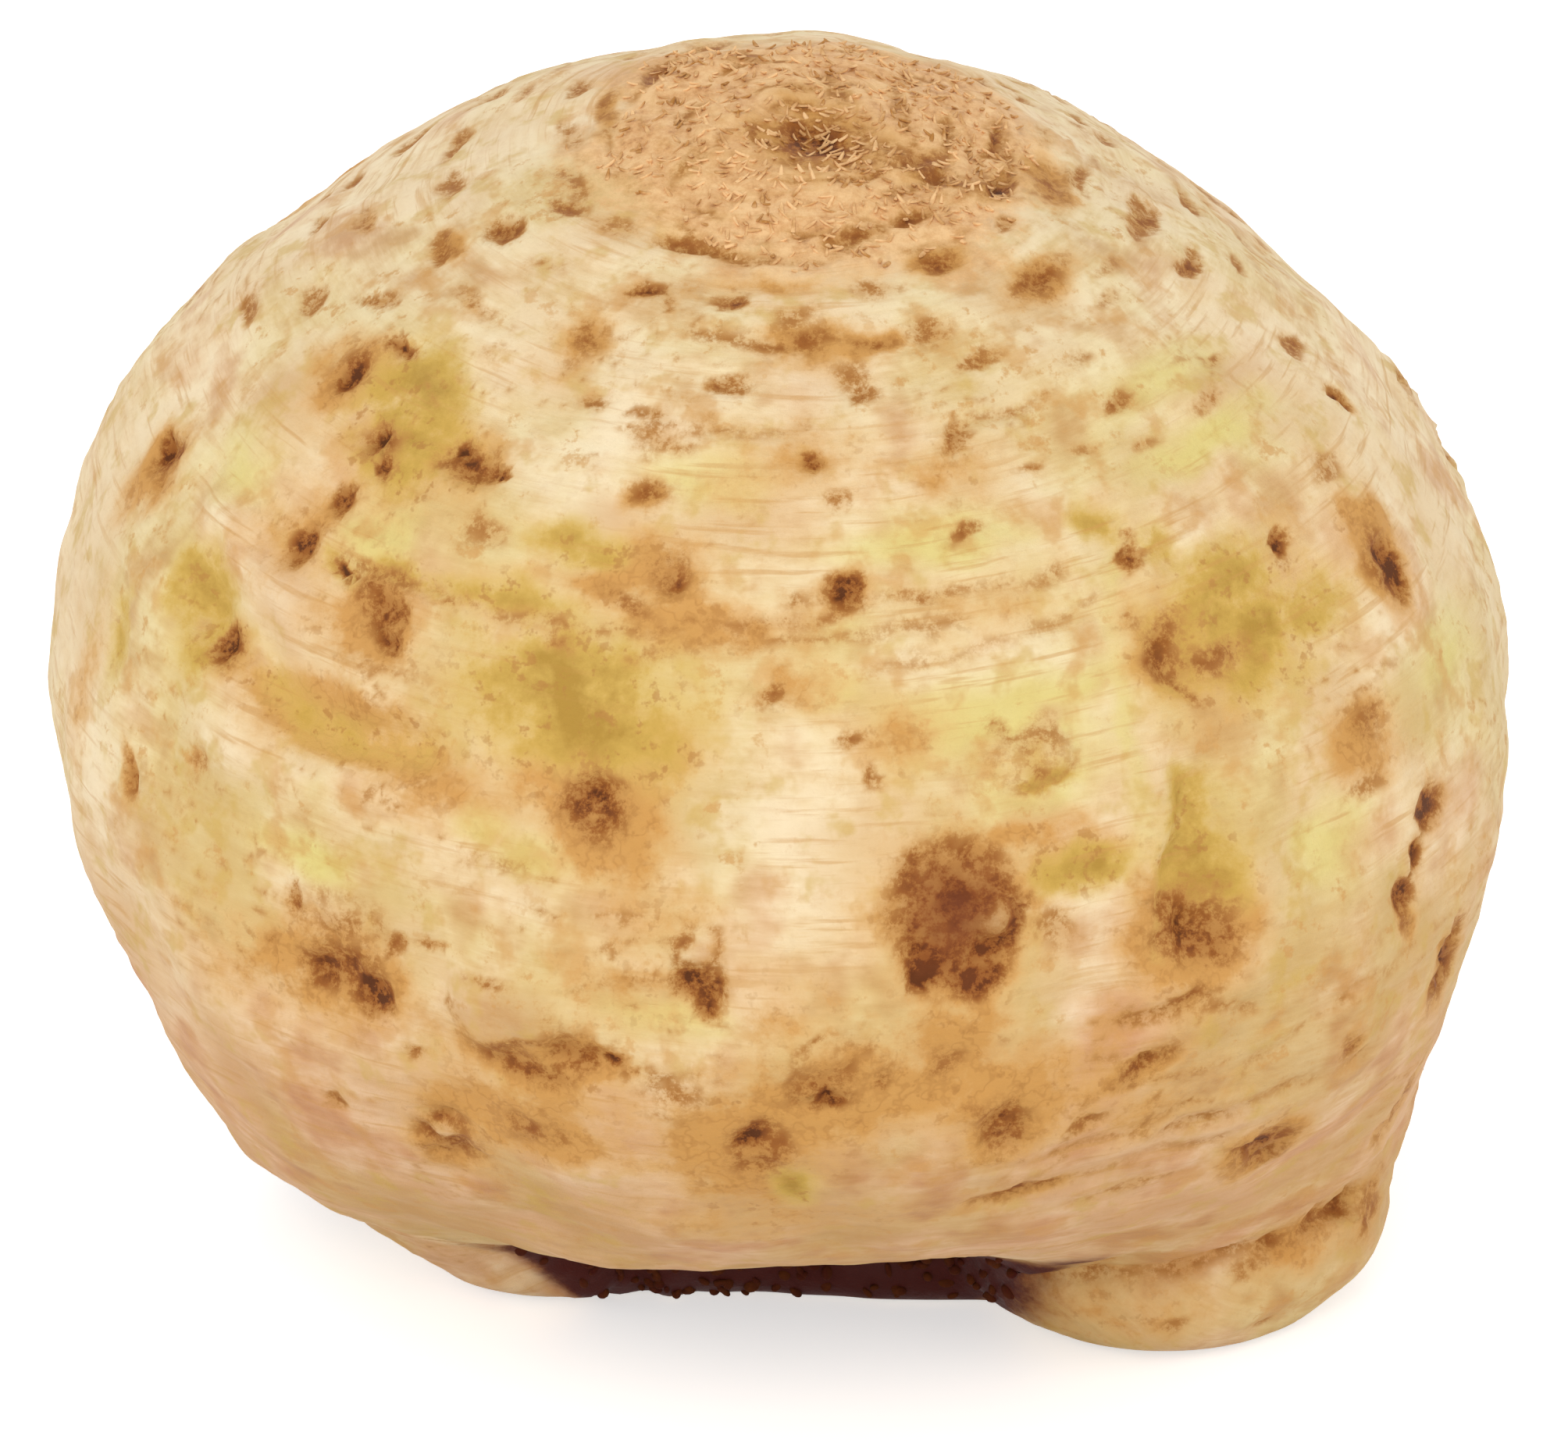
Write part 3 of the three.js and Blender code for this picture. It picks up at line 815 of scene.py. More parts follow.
    def tints(self):
        """Pale on the shoulder and the sides as painted light; peach in patches of the shoulder, and over the
        lower half as a pinker tone that is partly painted shade.
        """
        up = self.elevation
        shoulder_painted_light = smooth(*SHOULDER_FOOT, up) * (1.0 - smooth(*SHOULDER_TOP, up))
        sides_painted_light = smooth(*SIDES, np.abs(self.azimuth)) * smooth(*SIDES_FOOT, up)
        blush = smooth(0.0, 0.7, self.noise(7.0, 63)) * smooth(*BLUSH_FOOT, up)
        low = 1.0 - smooth(*LOWER_HALF, up + 9.0 * self.noise(21.0, 62))
        lobe = 1.0 - smooth(*LOBES_TOP, up)
        # the pale on the shoulder and the sides is painted light, where the upper and outer faces catch it
        self.add_stain("pale", self.EVERYWHERE, 0.5 * shoulder_painted_light)
        self.add_stain("pale", self.EVERYWHERE, 0.6 * sides_painted_light)
        self.add_stain("peach", self.EVERYWHERE, 0.7 * blush)
        # the peach over the lower half also darkens it as painted shade, less on the lobes
        self.add_stain("peach", self.EVERYWHERE, 0.9 * low * (1.0 - 0.7 * lobe))

    def finished_points(self):
        moved = self.points + self.slumped + self.normals * (self.relief * self.free)[:, None]
        moved[:, 2] = np.maximum(moved[:, 2], 0.0)
        return moved


def plate_share(points):
    """How much of a point belongs to the soiled and shaded root plate and its clefts rather than to a pale
    lobe.
    """
    x, y, _ = points.T
    lobes = [np.hypot((x - mx) / rx, (y - my) / ry) for mx, rx, my, ry in FRONT_LOBES]
    return smooth(0.82, 1.02, np.minimum(*lobes))


def spiral_marks(count):
    """Leaf scars wound down the crown and shoulder, left out where a listed mark already lies."""
    rng = np.random.default_rng(71)
    placed = SHOULDER_MARKS + CROWN_MARKS + [m for m in FRONT_MARKS if m.elevation > 30]
    taken = np.array([direction(m.azimuth, m.elevation) for m in placed])
    marks = []
    for i in range(FIRST_SCAR, count):
        azimuth = (i * GOLDEN_ANGLE + rng.normal(0, 5) + 180.0) % 360.0 - 180.0
        arc = SCAR_SPACING * math.sqrt(i) + rng.normal(0, 1.0)
        elevation = 90.0 - math.degrees(arc / MEAN_RADIUS)
        kind = "leaf" if rng.random() < 0.45 else "faint"
        size = rng.uniform(0.6, 1.25)
        clear = np.max(taken @ direction(azimuth, elevation)) < math.cos(LEAST_GAP / MEAN_RADIUS)
        if clear:
            marks.append(Mark(kind, azimuth, elevation, 4.2 * size, 1.9 * size, rng.normal(0, 12)))
    return marks


def scattered_marks(count):
    """Pits, root scars and stains over the sides and back, kind after kind, tints first."""
    rng = np.random.default_rng(72)
    marks = []
    for i in range(count):
        azimuth = rng.uniform(*HIDDEN_AZIMUTHS)
        elevation = math.degrees(math.asin(rng.uniform(*HIDDEN_SINES)))
        kind = SCATTERED_KINDS[int(i * len(SCATTERED_KINDS) / count)]
        width = SCATTERED_WIDTHS.get(kind, SCATTERED_WIDTH) * rng.uniform(0.65, 1.4)
        height = width * rng.uniform(0.5, 0.9)
        marks.append(Mark(kind, azimuth, elevation, width, height, rng.normal(0, 25)))
    return marks


# ---------------------------------------------------------------------------------------------------
# Meshes
# ---------------------------------------------------------------------------------------------------

WELD = 0.01 * MM


def evaluated_mesh(piece):
    """The mesh of an object with its modifiers applied."""
    graph = bpy.context.evaluated_depsgraph_get()
    return bpy.data.meshes.new_from_object(piece.evaluated_get(graph))


def welded_copy(node):
    """A new object with the merged mesh of a CAD node, whose own mesh is left alone."""
    shape = bmesh.new()
    shape.from_mesh(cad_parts[node].data)
    bmesh.ops.remove_doubles(shape, verts=shape.verts, dist=WELD)
    mesh = bpy.data.meshes.new(SKIN)
    shape.to_mesh(mesh)
    shape.free()
    piece = bpy.data.objects.new(SKIN, mesh)
    bpy.context.scene.collection.objects.link(piece)
    return piece


def relaxed(points, edges, rounds, share=0.5):
    """Points moved part of the way to the mean of their neighbours, several times over."""
    a, b = edges[:, 0], edges[:, 1]
    count = np.bincount(a, minlength=len(points)) + np.bincount(b, minlength=len(points))
    for _ in range(rounds):
        total = np.zeros_like(points)
        for axis in range(3):
            total[:, axis] = np.bincount(a, points[b, axis], len(points))
            total[:, axis] += np.bincount(b, points[a, axis], len(points))
        points = points + share * (total / count[:, None] - points)
    return points


def read_rows(items, field, columns, kind=np.float32):
    """A field of a mesh's vertices, normals or edges, a row for each."""
    values = np.empty(len(items) * columns, kind)
    items.foreach_get(field, values)
    return values.reshape(-1, columns)


def read_points(mesh):
    return read_rows(mesh.vertices, "co", 3).astype(float) / MM


def write_points(mesh, points):
    mesh.vertices.foreach_set("co", (points * MM).astype(np.float32).ravel())
    mesh.update()


def write_attribute(mesh, name, values, kind="FLOAT"):
    attribute = mesh.attributes.new(name, kind, "POINT")
    field = "vector" if kind == "FLOAT_VECTOR" else "value"
    attribute.data.foreach_set(field, values.astype(np.float32).ravel())


# ---------------------------------------------------------------------------------------------------
# Materials
# ---------------------------------------------------------------------------------------------------

MATH = "ShaderNodeMath"
RANGE = "ShaderNodeMapRange"
RAMP = "ShaderNodeValToRGB"
EASED = {"interpolation_type": "SMOOTHSTEP"}
TIMES = {"operation": "MULTIPLY"}
TIMES_PLUS = {"operation": "MULTIPLY_ADD"}
LESS = {"operation": "SUBTRACT"}
GREATER = {"operation": "MAXIMUM"}
MAIN_OUTPUT = {"ShaderNodeMix": 2, "ShaderNodeAttribute": 2}  # of the nodes whose main output isn't first
SPECULAR = 0.15  # dry plant skin and soil hardly shine

# Noise patterns of the skin: how far a lump reaches, in millimetres, then detail and roughness. One that
# is drawn out round the root has as a fourth number its scale round it, as a share of that across.
PATTERNS = {
    "patches": (17.0, 3.0, 0.5),
    "blotches": (10.0, 3.0, 0.55),
    "mottle": (5.0, 3.0, 0.55),
    "flecks": (3.4, 3.0, 0.6),
    "ragged": (2.0, 4.0, 0.7),
    "network": (1.9, 2.0, 0.5),
    "streaks": (1.5, 4.0, 0.65, 0.22),
    "dark_flecks": (1.4, 3.0, 0.65),
    "specks": (1.3, 4.0, 0.75),
    "fibres": (1.1, 5.0, 0.75),
    "pores": (0.9, 6.0, 0.7),
    "folds": (0.7, 3.0, 0.6, 0.07),
}


def srgb(hex_colour):
    """A hex colour turned to linear, as a shader wants it."""
    parts = [int(hex_colour[i : i + 2], 16) / 255.0 for i in (1, 3, 5)]
    return [p / 12.92 if p <= 0.04045 else ((p + 0.055) / 1.055) ** 2.4 for p in parts]


def set_stops(ramp, stops):
    """Gives a colour ramp its (position, colour) stops."""
    while len(ramp.elements) < len(stops):
        ramp.elements.new(0.5)
    for element, (position, colour) in zip(ramp.elements, stops):
        element.position = position
        element.color = colour


def add(tree, kind, settings=None, inputs=()):
    """Adds a node, sets its properties, and fills its inputs in order, or by name or number.

    An input takes a plain value, a socket of another node, or the node itself for its main output.
    """
    node = tree.nodes.new(kind)
    for name, value in (settings or {}).items():
        if name == "stops":
            set_stops(node.color_ramp, value)
        else:
            setattr(node, name, value)
    for key, value in inputs.items() if isinstance(inputs, dict) else enumerate(inputs):
        if isinstance(value, bpy.types.Node):
            value = value.outputs[MAIN_OUTPUT.get(value.bl_idname, 0)]
        if isinstance(value, bpy.types.NodeSocket):
            tree.links.new(value, node.inputs[key])
        else:
            node.inputs[key].default_value = value
    return node


def new_material(name):
    """An empty material tree, with its output node."""
    material = bpy.data.materials.new(name)
    material.use_nodes = True
    tree = material.node_tree
    tree.nodes.clear()
    return material, tree, tree.nodes.new("ShaderNodeOutputMaterial")


def laid_over(tree, below, *layers):
    """Colours laid over one another, each by its share: as paint, or as a tint if it is said to MULTIPLY."""
    for colour, share, *blend in layers:
        settings = {"data_type": "RGBA", "blend_type": blend[0] if blend else "MIX"}
        below = add(tree, "ShaderNodeMix", settings, {0: share, 6: below, 7: colour})
    return below


def skin_patterns(tree):
    """The noise patterns of the skin, by name. Streaks and folds follow the skin's own directions."""
    place = add(tree, "ShaderNodeTexCoord").outputs["Object"]
    along = add(tree, "ShaderNodeAttribute", {"attribute_name": "along"}).outputs["Vector"]
    patterns = {}
    for name, (size, detail, roughness, *drawn_out) in PATTERNS.items():
        vector = place
        if drawn_out:
            scale = (drawn_out[0], drawn_out[0], 1.0)
            vector = add(tree, "ShaderNodeMapping", inputs={"Vector": along, "Scale": scale})
        inputs = {"Vector": vector, "Scale": 1 / (size * MM), "Detail": detail, "Roughness": roughness}
        patterns[name] = add(tree, "ShaderNodeTexNoise", inputs=inputs)
    return SimpleNamespace(**patterns)


def skin_stains(tree):
    """What was stained while the skin grew, by name. Where rootlets stand doesn't change its colour."""
    names = [name for name in Skin.STAINS if name != "rootlets"]
    stains = {name: add(tree, "ShaderNodeAttribute", {"attribute_name": name}) for name in names}
    return SimpleNamespace(**stains)


def clean_skin(tree, colours, pattern, stain):
    """Cream, softly clouded with tan, straw, peach, green and pale patches and finely streaked round."""
    grain = add(tree, MATH, TIMES_PLUS, (pattern.streaks, 0.4, add(tree, MATH, TIMES, (pattern.mottle, 0.6))))
    stops = [(0.34, colours.tan), (0.48, colours.cream), (0.64, colours.pale)]
    clouds = add(tree, RANGE, EASED, (pattern.blotches, 0.44, 0.66, 0.0, 0.8))
    yellower = add(tree, RANGE, EASED, (pattern.patches, 0.44, 0.6, 0.0, 0.9))
    blush = add(tree, RANGE, EASED, (pattern.blotches, 0.34, 0.5, 0.7, 0.0))
    leafy = add(tree, MATH, TIMES, (stain.green, add(tree, MATH, TIMES_PLUS, (pattern.mottle, 1.2, 0.4))))
    rubbed = add(tree, RANGE, EASED, (grain, 0.35, 0.6, 0.2, 0.9))
    return laid_over(
        tree,
        add(tree, RAMP, {"stops": stops}, [grain]),
        (colours.tan, clouds),
        (colours.straw, yellower, "MULTIPLY"),
        (colours.peach, blush, "MULTIPLY"),
        (colours.peach, stain.peach, "MULTIPLY"),
        (colours.leaf_green, add(tree, RANGE, EASED, (leafy, 0.0, 1.0, 0.0, 0.8))),
        (colours.pale, add(tree, MATH, TIMES, (stain.pale, rubbed))),
    )


def flecked(tree, colours, pattern, skin):
    """Soft flecks of ochre and olive, and sharper freckles, gathered in places."""
    olive_share = add(tree, RANGE, EASED, (pattern.blotches, 0.45, 0.55))
    fleck_colour = laid_over(tree, colours.ochre, (colours.olive, olive_share))
    freckles = add(tree, RANGE, EASED, (pattern.ragged, 0.56, 0.68))
    gathered = add(tree, RANGE, EASED, (pattern.patches, 0.42, 0.58, 0.15, 0.7))
    return laid_over(
        tree,
        skin,
        (fleck_colour, add(tree, RANGE, EASED, (pattern.flecks, 0.5, 0.68, 0.0, 0.55))),
        (colours.orange_tan, add(tree, MATH, TIMES, (freckles, gathered))),
    )


def with_crown(tree, colours, pattern, stain, skin):
    """The crown's disc: brown and fibrous, breaking up into the skin's own colour at its edge."""
    ragged_part = add(tree, MATH, TIMES, (pattern.ragged, 0.45))
    mottle_part = add(tree, MATH, TIMES, (pattern.mottle, 0.25))
    fibres = add(tree, MATH, TIMES_PLUS, (pattern.fibres, 0.55, ragged_part))
    worn = add(tree, MATH, TIMES_PLUS, (fibres, 0.75, mottle_part))
    stops = [(0.36, colours.crown_dark), (0.45, colours.crown), (0.56, colours.crown_light)]
    inner = add(tree, MATH, LESS, (stain.crown, 0.45))
    strength = add(tree, MATH, TIMES_PLUS, (pattern.ragged, 0.9, inner))
    share = add(tree, RANGE, EASED, (strength, 0.05, 0.85, 0.0, 0.92))
    return laid_over(tree, skin, (add(tree, RAMP, {"stops": stops}, [worn]), share))


def washed(tree, colours, pattern, stain, skin):
    """Ochre washes round the scars, veined with rust, and olive stains, straw gold where thin."""
    uneven = add(tree, MATH, TIMES_PLUS, (pattern.ragged, 1.4, -0.85))
    uneven = add(tree, MATH, TIMES_PLUS, (pattern.mottle, 2.2, uneven))
    ochre = add(tree, MATH, TIMES, (stain.ochre, uneven))
    olive = add(tree, MATH, TIMES, (stain.olive, uneven))
    off_middle = add(tree, MATH, LESS, (pattern.network, 0.5))
    network = add(tree, MATH, {"operation": "ABSOLUTE"}, [off_middle])
    veins = add(tree, RANGE, EASED, (network, 0.0, 0.05, 1.0, 0.0))
    veined = add(tree, RANGE, EASED, (ochre, 0.35, 1.0, 0.0, 0.5))
    full = add(tree, RANGE, EASED, (ochre, 0.2, 0.9))
    ochre_colour = laid_over(tree, colours.ochre_light, (colours.ochre, full))
    stops = [(0.15, colours.olive_light), (0.5, colours.olive), (0.95, colours.olive_deep)]
    olive_colour = add(tree, RAMP, {"stops": stops}, [add(tree, MATH, TIMES, (olive, 0.68))])
    return laid_over(
        tree,
        skin,
        (ochre_colour, add(tree, RANGE, EASED, (ochre, 0.0, 0.8, 0.0, 0.95))),
        (colours.umber, add(tree, MATH, TIMES, (veins, veined))),
        (olive_colour, add(tree, RANGE, EASED, (olive, 0.0, 0.9, 0.0, 0.95))),
    )


def lined(tree, colours, pattern, stain, skin):
    """Hairline folds that run round the root, in bands, and dark flecks, thickest on the stains."""
    hairlines = add(tree, RANGE, EASED, (pattern.folds, 0.54, 0.68))
    bands = add(tree, RANGE, EASED, (pattern.patches, 0.4, 0.6, 0.5, 0.1))
    stained = add(tree, MATH, TIMES_PLUS, (stain.olive, 0.5, stain.brown))
    stained = add(tree, MATH, {"operation": "ADD"}, (stained, stain.ochre))
    thick = add(tree, RANGE, EASED, (stained, 0.1, 0.9, 0.06, 0.65))
    dark = add(tree, RANGE, EASED, (pattern.dark_flecks, 0.56, 0.66))
    return laid_over(
        tree,
        skin,
        (colours.orange_tan, add(tree, MATH, TIMES, (hairlines, bands))),
        (colours.umber, add(tree, MATH, TIMES, (dark, thick))),
    )


def scarred(tree, colours, pattern, stain, skin):
    """Brown stains: tan at the edge, rust within, nearly black in a pit, all broken into specks."""
    specks = add(tree, RANGE, EASED, (pattern.specks, 0.4, 0.6))
    broken = add(tree, MATH, TIMES_PLUS, (specks, 0.72, 0.64))
    strength = add(tree, MATH, TIMES, (stain.brown, broken))
    browns = (colours.orange_tan, colours.umber, colours.rust, colours.rust_dark, colours.pit)
    stops = list(zip((0.1, 0.35, 0.6, 0.85, 1.0), browns))
    share = add(tree, RANGE, EASED, (strength, 0.0, 0.42, 0.0, 0.97))
    return laid_over(tree, skin, (add(tree, RAMP, {"stops": stops}, [strength]), share))


def soiled_and_shaded(tree, colours, pattern, stain, skin):
    """Soil and painted shade in the clefts of the base, redder where it is thin and dry."""
    broken = add(tree, MATH, TIMES_PLUS, (pattern.ragged, 0.9, 0.55))
    strength = add(tree, MATH, TIMES, (stain.soil, broken))
    thick = add(tree, RANGE, EASED, (strength, 0.3, 0.8))
    soil_colour = laid_over(tree, colours.soil_light, (colours.soil, thick))
    return laid_over(tree, skin, (soil_colour, add(tree, RANGE, EASED, (strength, 0.0, 0.7))))


def root_skin_material(colours):
    """Dry skin of a raw root, brushed clean: satin matt, cream mottled with tan, stained round its scars."""
    material, tree, output = new_material("raw_celeriac_skin")
    pattern, stain = skin_patterns(tree), skin_stains(tree)
    skin = clean_skin(tree, colours, pattern, stain)
    skin = flecked(tree, colours, pattern, skin)
    for layer in (with_crown, washed, lined, scarred, soiled_and_shaded):
        skin = layer(tree, colours, pattern, stain, skin)
    # relief too fine for the mesh: pores and fibres up to a quarter of a millimetre deep
    fibre_part = add(tree, MATH, TIMES, (pattern.streaks, 0.4))
    fine = add(tree, MATH, TIMES_PLUS, (pattern.pores, 0.6, fibre_part))
    bump = {"Height": fine, "Strength": 1.0, "Distance": 0.25 * MM}
    inputs = {
        "Base Color": skin,
        "Roughness": add(tree, RANGE, EASED, (pattern.mottle, 0.3, 0.7, 0.5, 0.72)),
        "Specular IOR Level": SPECULAR,
        "Normal": add(tree, "ShaderNodeBump", inputs=bump),
    }
    surface = add(tree, "ShaderNodeBsdfPrincipled", inputs=inputs)
    tree.links.new(surface.outputs[0], output.inputs["Surface"])
    return material


def mottled_material(name, dark, light, size_mm, roughness):
    """Dry matt plant tissue or soil, mottled between two colours."""
    material, tree, output = new_material(name)
    place = add(tree, "ShaderNodeTexCoord").outputs["Object"]
    inputs = {"Vector": place, "Scale": 1 / (size_mm * MM), "Detail": 4.0, "Roughness": 0.65}
    noise = add(tree, "ShaderNodeTexNoise", inputs=inputs)
    inputs = {
        "Base Color": add(tree, RAMP, {"stops": [(0.35, dark), (0.6, light)]}, [noise]),
        "Roughness": roughness,
        "Specular IOR Level": SPECULAR,
    }
    surface = add(tree, "ShaderNodeBsdfPrincipled", inputs=inputs)
    tree.links.new(surface.outputs[0], output.inputs["Surface"])
    return material


def seen_directly(tree):
    """1 for rays of the camera, of a mirror and through glass, and 0 for those that only light things."""
    path = add(tree, "ShaderNodeLightPath").outputs
    indirect = add(tree, MATH, GREATER, (path["Is Glossy Ray"], path["Is Transmission Ray"]))
    return add(tree, MATH, GREATER, (path["Is Camera Ray"], indirect))


def floor_material():
    """White sweep of a studio table: matt, and lifted to white for the camera so that only shadow shows."""
    material, tree, output = new_material("white_studio_sweep")
    matt = add(tree, "ShaderNodeBsdfDiffuse", inputs={"Color": FLOOR_GREY})
    lift = add(tree, "ShaderNodeEmission", inputs={"Color": WHITE, "Strength": FLOOR_LIFT})
    none = add(tree, "ShaderNodeEmission", inputs={"Strength": 0.0})
    glow = add(tree, "ShaderNodeMixShader", inputs=(seen_directly(tree), none, lift))
    both = add(tree, "ShaderNodeAddShader", inputs=(matt, glow))
    tree.links.new(both.outputs[0], output.inputs["Surface"])
    return material


def studio_world(fill):
    """Even light from all round, at the given strength, in front of a white background."""
    world = bpy.data.worlds.new("studio")
    world.use_nodes = True
    tree = world.node_tree
    tree.nodes.clear()
    strength = add(tree, RANGE, inputs={"Value": seen_directly(tree), "To Min": fill, "To Max": 1.0})
    background = add(tree, "ShaderNodeBackground", inputs={"Color": WHITE, "Strength": strength})
    add(tree, "ShaderNodeOutputWorld", inputs=[background])
    return world


# ---------------------------------------------------------------------------------------------------
# What stands on the skin, by geometry nodes
# ---------------------------------------------------------------------------------------------------

VECTORS = {"data_type": "FLOAT_VECTOR"}
SMALLEST, LARGEST = 0.45, 1.25  # sizes of the copies, as shares of the given one
MOST_TILT = 1.15  # of the given tilt


def scatter_tree(name, attribute, shape, seed):
    """A node group that sets copies of a shape on a mesh, densest where an attribute is strongest.

    Gives the group, and the identifier of each of its inputs by the input's name.
    """
    tree = bpy.data.node_groups.new(name, "GeometryNodeTree")
    kinds = {"Geometry": "Geometry", "Material": "Material"}
    kinds.update(dict.fromkeys(("Density", "Least", "Length", "Width", "Thickness", "Tilt"), "Float"))
    keys = {}
    for label, kind in kinds.items():
        socket = tree.interface.new_socket(label, in_out="INPUT", socket_type="NodeSocket" + kind)
        keys[label] = socket.identifier
    tree.interface.new_socket("Geometry", in_out="OUTPUT", socket_type="NodeSocketGeometry")
    given = tree.nodes.new("NodeGroupInput").outputs

    # points, where the attribute is above the least that bears any
    where = add(tree, "GeometryNodeInputNamedAttribute", {"data_type": "FLOAT"}, {"Name": attribute})
    share = add(tree, RANGE, inputs={"Value": where, "From Min": given["Least"], "From Max": 1.0})
    density = add(tree, MATH, TIMES, (share, given["Density"]))
    spread = {"Mesh": given["Geometry"], "Density": density, "Seed": seed}
    points = add(tree, "GeometryNodeDistributePointsOnFaces", inputs=spread)

    # each copy leans by about the tilt, whichever way, and has its own size
    least = add(tree, "ShaderNodeCombineXYZ", inputs=[given["Tilt"]])
    whole_turn = (0.0, 0.0, 2.0 * math.pi)
    most = add(tree, "ShaderNodeVectorMath", TIMES_PLUS, (least, (MOST_TILT, 0.0, 0.0), whole_turn))
    turn = add(tree, "FunctionNodeRandomValue", VECTORS, {0: least, 1: most, "Seed": seed + 1})
    lean = add(tree, "FunctionNodeEulerToRotation", inputs=[turn])
    upright = points.outputs["Rotation"]
    rotation = add(tree, "FunctionNodeRotateRotation", {"rotation_space": "LOCAL"}, (upright, lean))
    sizes = {0: (SMALLEST,) * 3, 1: (LARGEST,) * 3, "Seed": seed + 2}
    scale = add(tree, "FunctionNodeRandomValue", VECTORS, sizes)

    size = add(tree, "ShaderNodeCombineXYZ", inputs=(given["Width"], given["Thickness"], given["Length"]))
    one = add(tree, "GeometryNodeTransform", inputs={0: shape(tree), "Scale": size})
    soft = add(tree, "GeometryNodeSetShadeSmooth", inputs=[one])
    placed = {"Points": points, "Instance": soft, "Rotation": rotation, "Scale": scale}
    copies = add(tree, "GeometryNodeInstanceOnPoints", inputs=placed)
    real = add(tree, "GeometryNodeRealizeInstances", inputs=[copies])
    dressed = add(tree, "GeometryNodeSetMaterial", inputs={0: real, "Material": given["Material"]})
    tree.links.new(dressed.outputs[0], tree.nodes.new("NodeGroupOutput").inputs[0])
    return tree, keys


def stub(tree):
    """A stub of unit height and width that bends over and narrows towards its tip."""
    bend = {"Resolution": 5, "Start": (0, 0, -0.2), "Middle": (0, 0, 0.6), "End": (0, 1.4, 1)}
    line = add(tree, "GeometryNodeCurveQuadraticBezier", inputs=bend)
    along = add(tree, "GeometryNodeSplineParameter").outputs["Factor"]
    squared = add(tree, MATH, TIMES, (along, along))
    narrowing = add(tree, MATH, TIMES_PLUS, (squared, -0.75, 1.0))
    ring = add(tree, "GeometryNodeCurvePrimitiveCircle", inputs={"Resolution": 6, "Radius": 0.5})
    swept = {0: line, 1: ring, "Scale": narrowing, "Fill Caps": True}
    return add(tree, "GeometryNodeCurveToMesh", inputs=swept)


def crumb(tree):
    """A rounded crumb of unit size."""
    return add(tree, "GeometryNodeMeshIcoSphere", inputs={"Radius": 0.5, "Subdivisions": 2})


def set_on_skin(name, attribute, shape, seed, values):
    """A piece made of copies of a shape set on the skin, as one plain mesh that rides with the root."""
    tree, keys = scatter_tree(name, attribute, shape, seed)
    piece = bpy.data.objects.new(name, bpy.data.objects[SKIN].data.copy())
    bpy.context.scene.collection.objects.link(piece)
    grown = piece.modifiers.new("Grown", "NODES")
    grown.node_group = tree
    for label, value in values.items():
        grown[keys[label]] = value
    mesh = evaluated_mesh(piece)
    piece.modifiers.clear()
    piece.data = mesh
    mesh.name = name
    for left_over in (*Skin.STAINS, "along"):
        if left_over in mesh.attributes:
            mesh.attributes.remove(mesh.attributes[left_over])
    points = read_points(mesh)
    points[:, 2] = np.maximum(points[:, 2], 0.0)
    write_points(mesh, points)
    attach(piece, BODY)


# ---------------------------------------------------------------------------------------------------
# Settings
# ---------------------------------------------------------------------------------------------------


def length(name, description, default):
    return bpy.props.FloatProperty(
        name=name, description=description, default=default, min=0.0, unit="LENGTH", precision=5
    )


def number(name, description, default):
    return bpy.props.IntProperty(name=name, description=description, default=default, min=0)


def density(name, description, default):
    description += ", per square metre"
    return bpy.props.FloatProperty(name=name, description=description, default=default, min=0)


def colour(name, description, hex_colour):
    return bpy.props.FloatVectorProperty(
        name=name, description=description, default=srgb(hex_colour), size=3, subtype="COLOR", min=0, max=1
    )


class CELERIAC_PG_shape(bpy.types.PropertyGroup):
    """Sizes of the grown skin."""

    grain: length("Grain", "Size of the faces that the skin is made of", 0.8 * MM)
    rounding: number("Rounding", "How much the folds between lobes are softened", 6)
    leaf_scars: number("Leaf scars", "Leaf scars wound round the crown", 175)
    root_scars: number("Root scars", "Marks scattered over the sides and back", 130)


class CELERIAC_PG_growth(bpy.types.PropertyGroup):
    """How many things stand on the skin, and how large they are."""

    leaf_base_density: density("Leaf bases", "Dry leaf bases on the crown", 900_000)
    leaf_base_length: length("Leaf base length", "From foot to tip", 0.8 * MM)
    leaf_base_width: length("Leaf base width", "At the foot", 0.36 * MM)
    leaf_base_thickness: length("Leaf base thickness", "At the foot", 0.18 * MM)
    rootlet_density: density("Rootlets", "Snapped rootlets on their patches", 60_000)
    rootlet_length: length("Rootlet length", "From the skin to the broken end", 0.8 * MM)
    rootlet_width: length("Rootlet width", "At the foot", 0.8 * MM)
    crumb_density: density("Crumbs", "Crumbs of soil where it sticks", 500_000)
    crumb_size: length("Crumb size", "Across a crumb", 1.3 * MM)


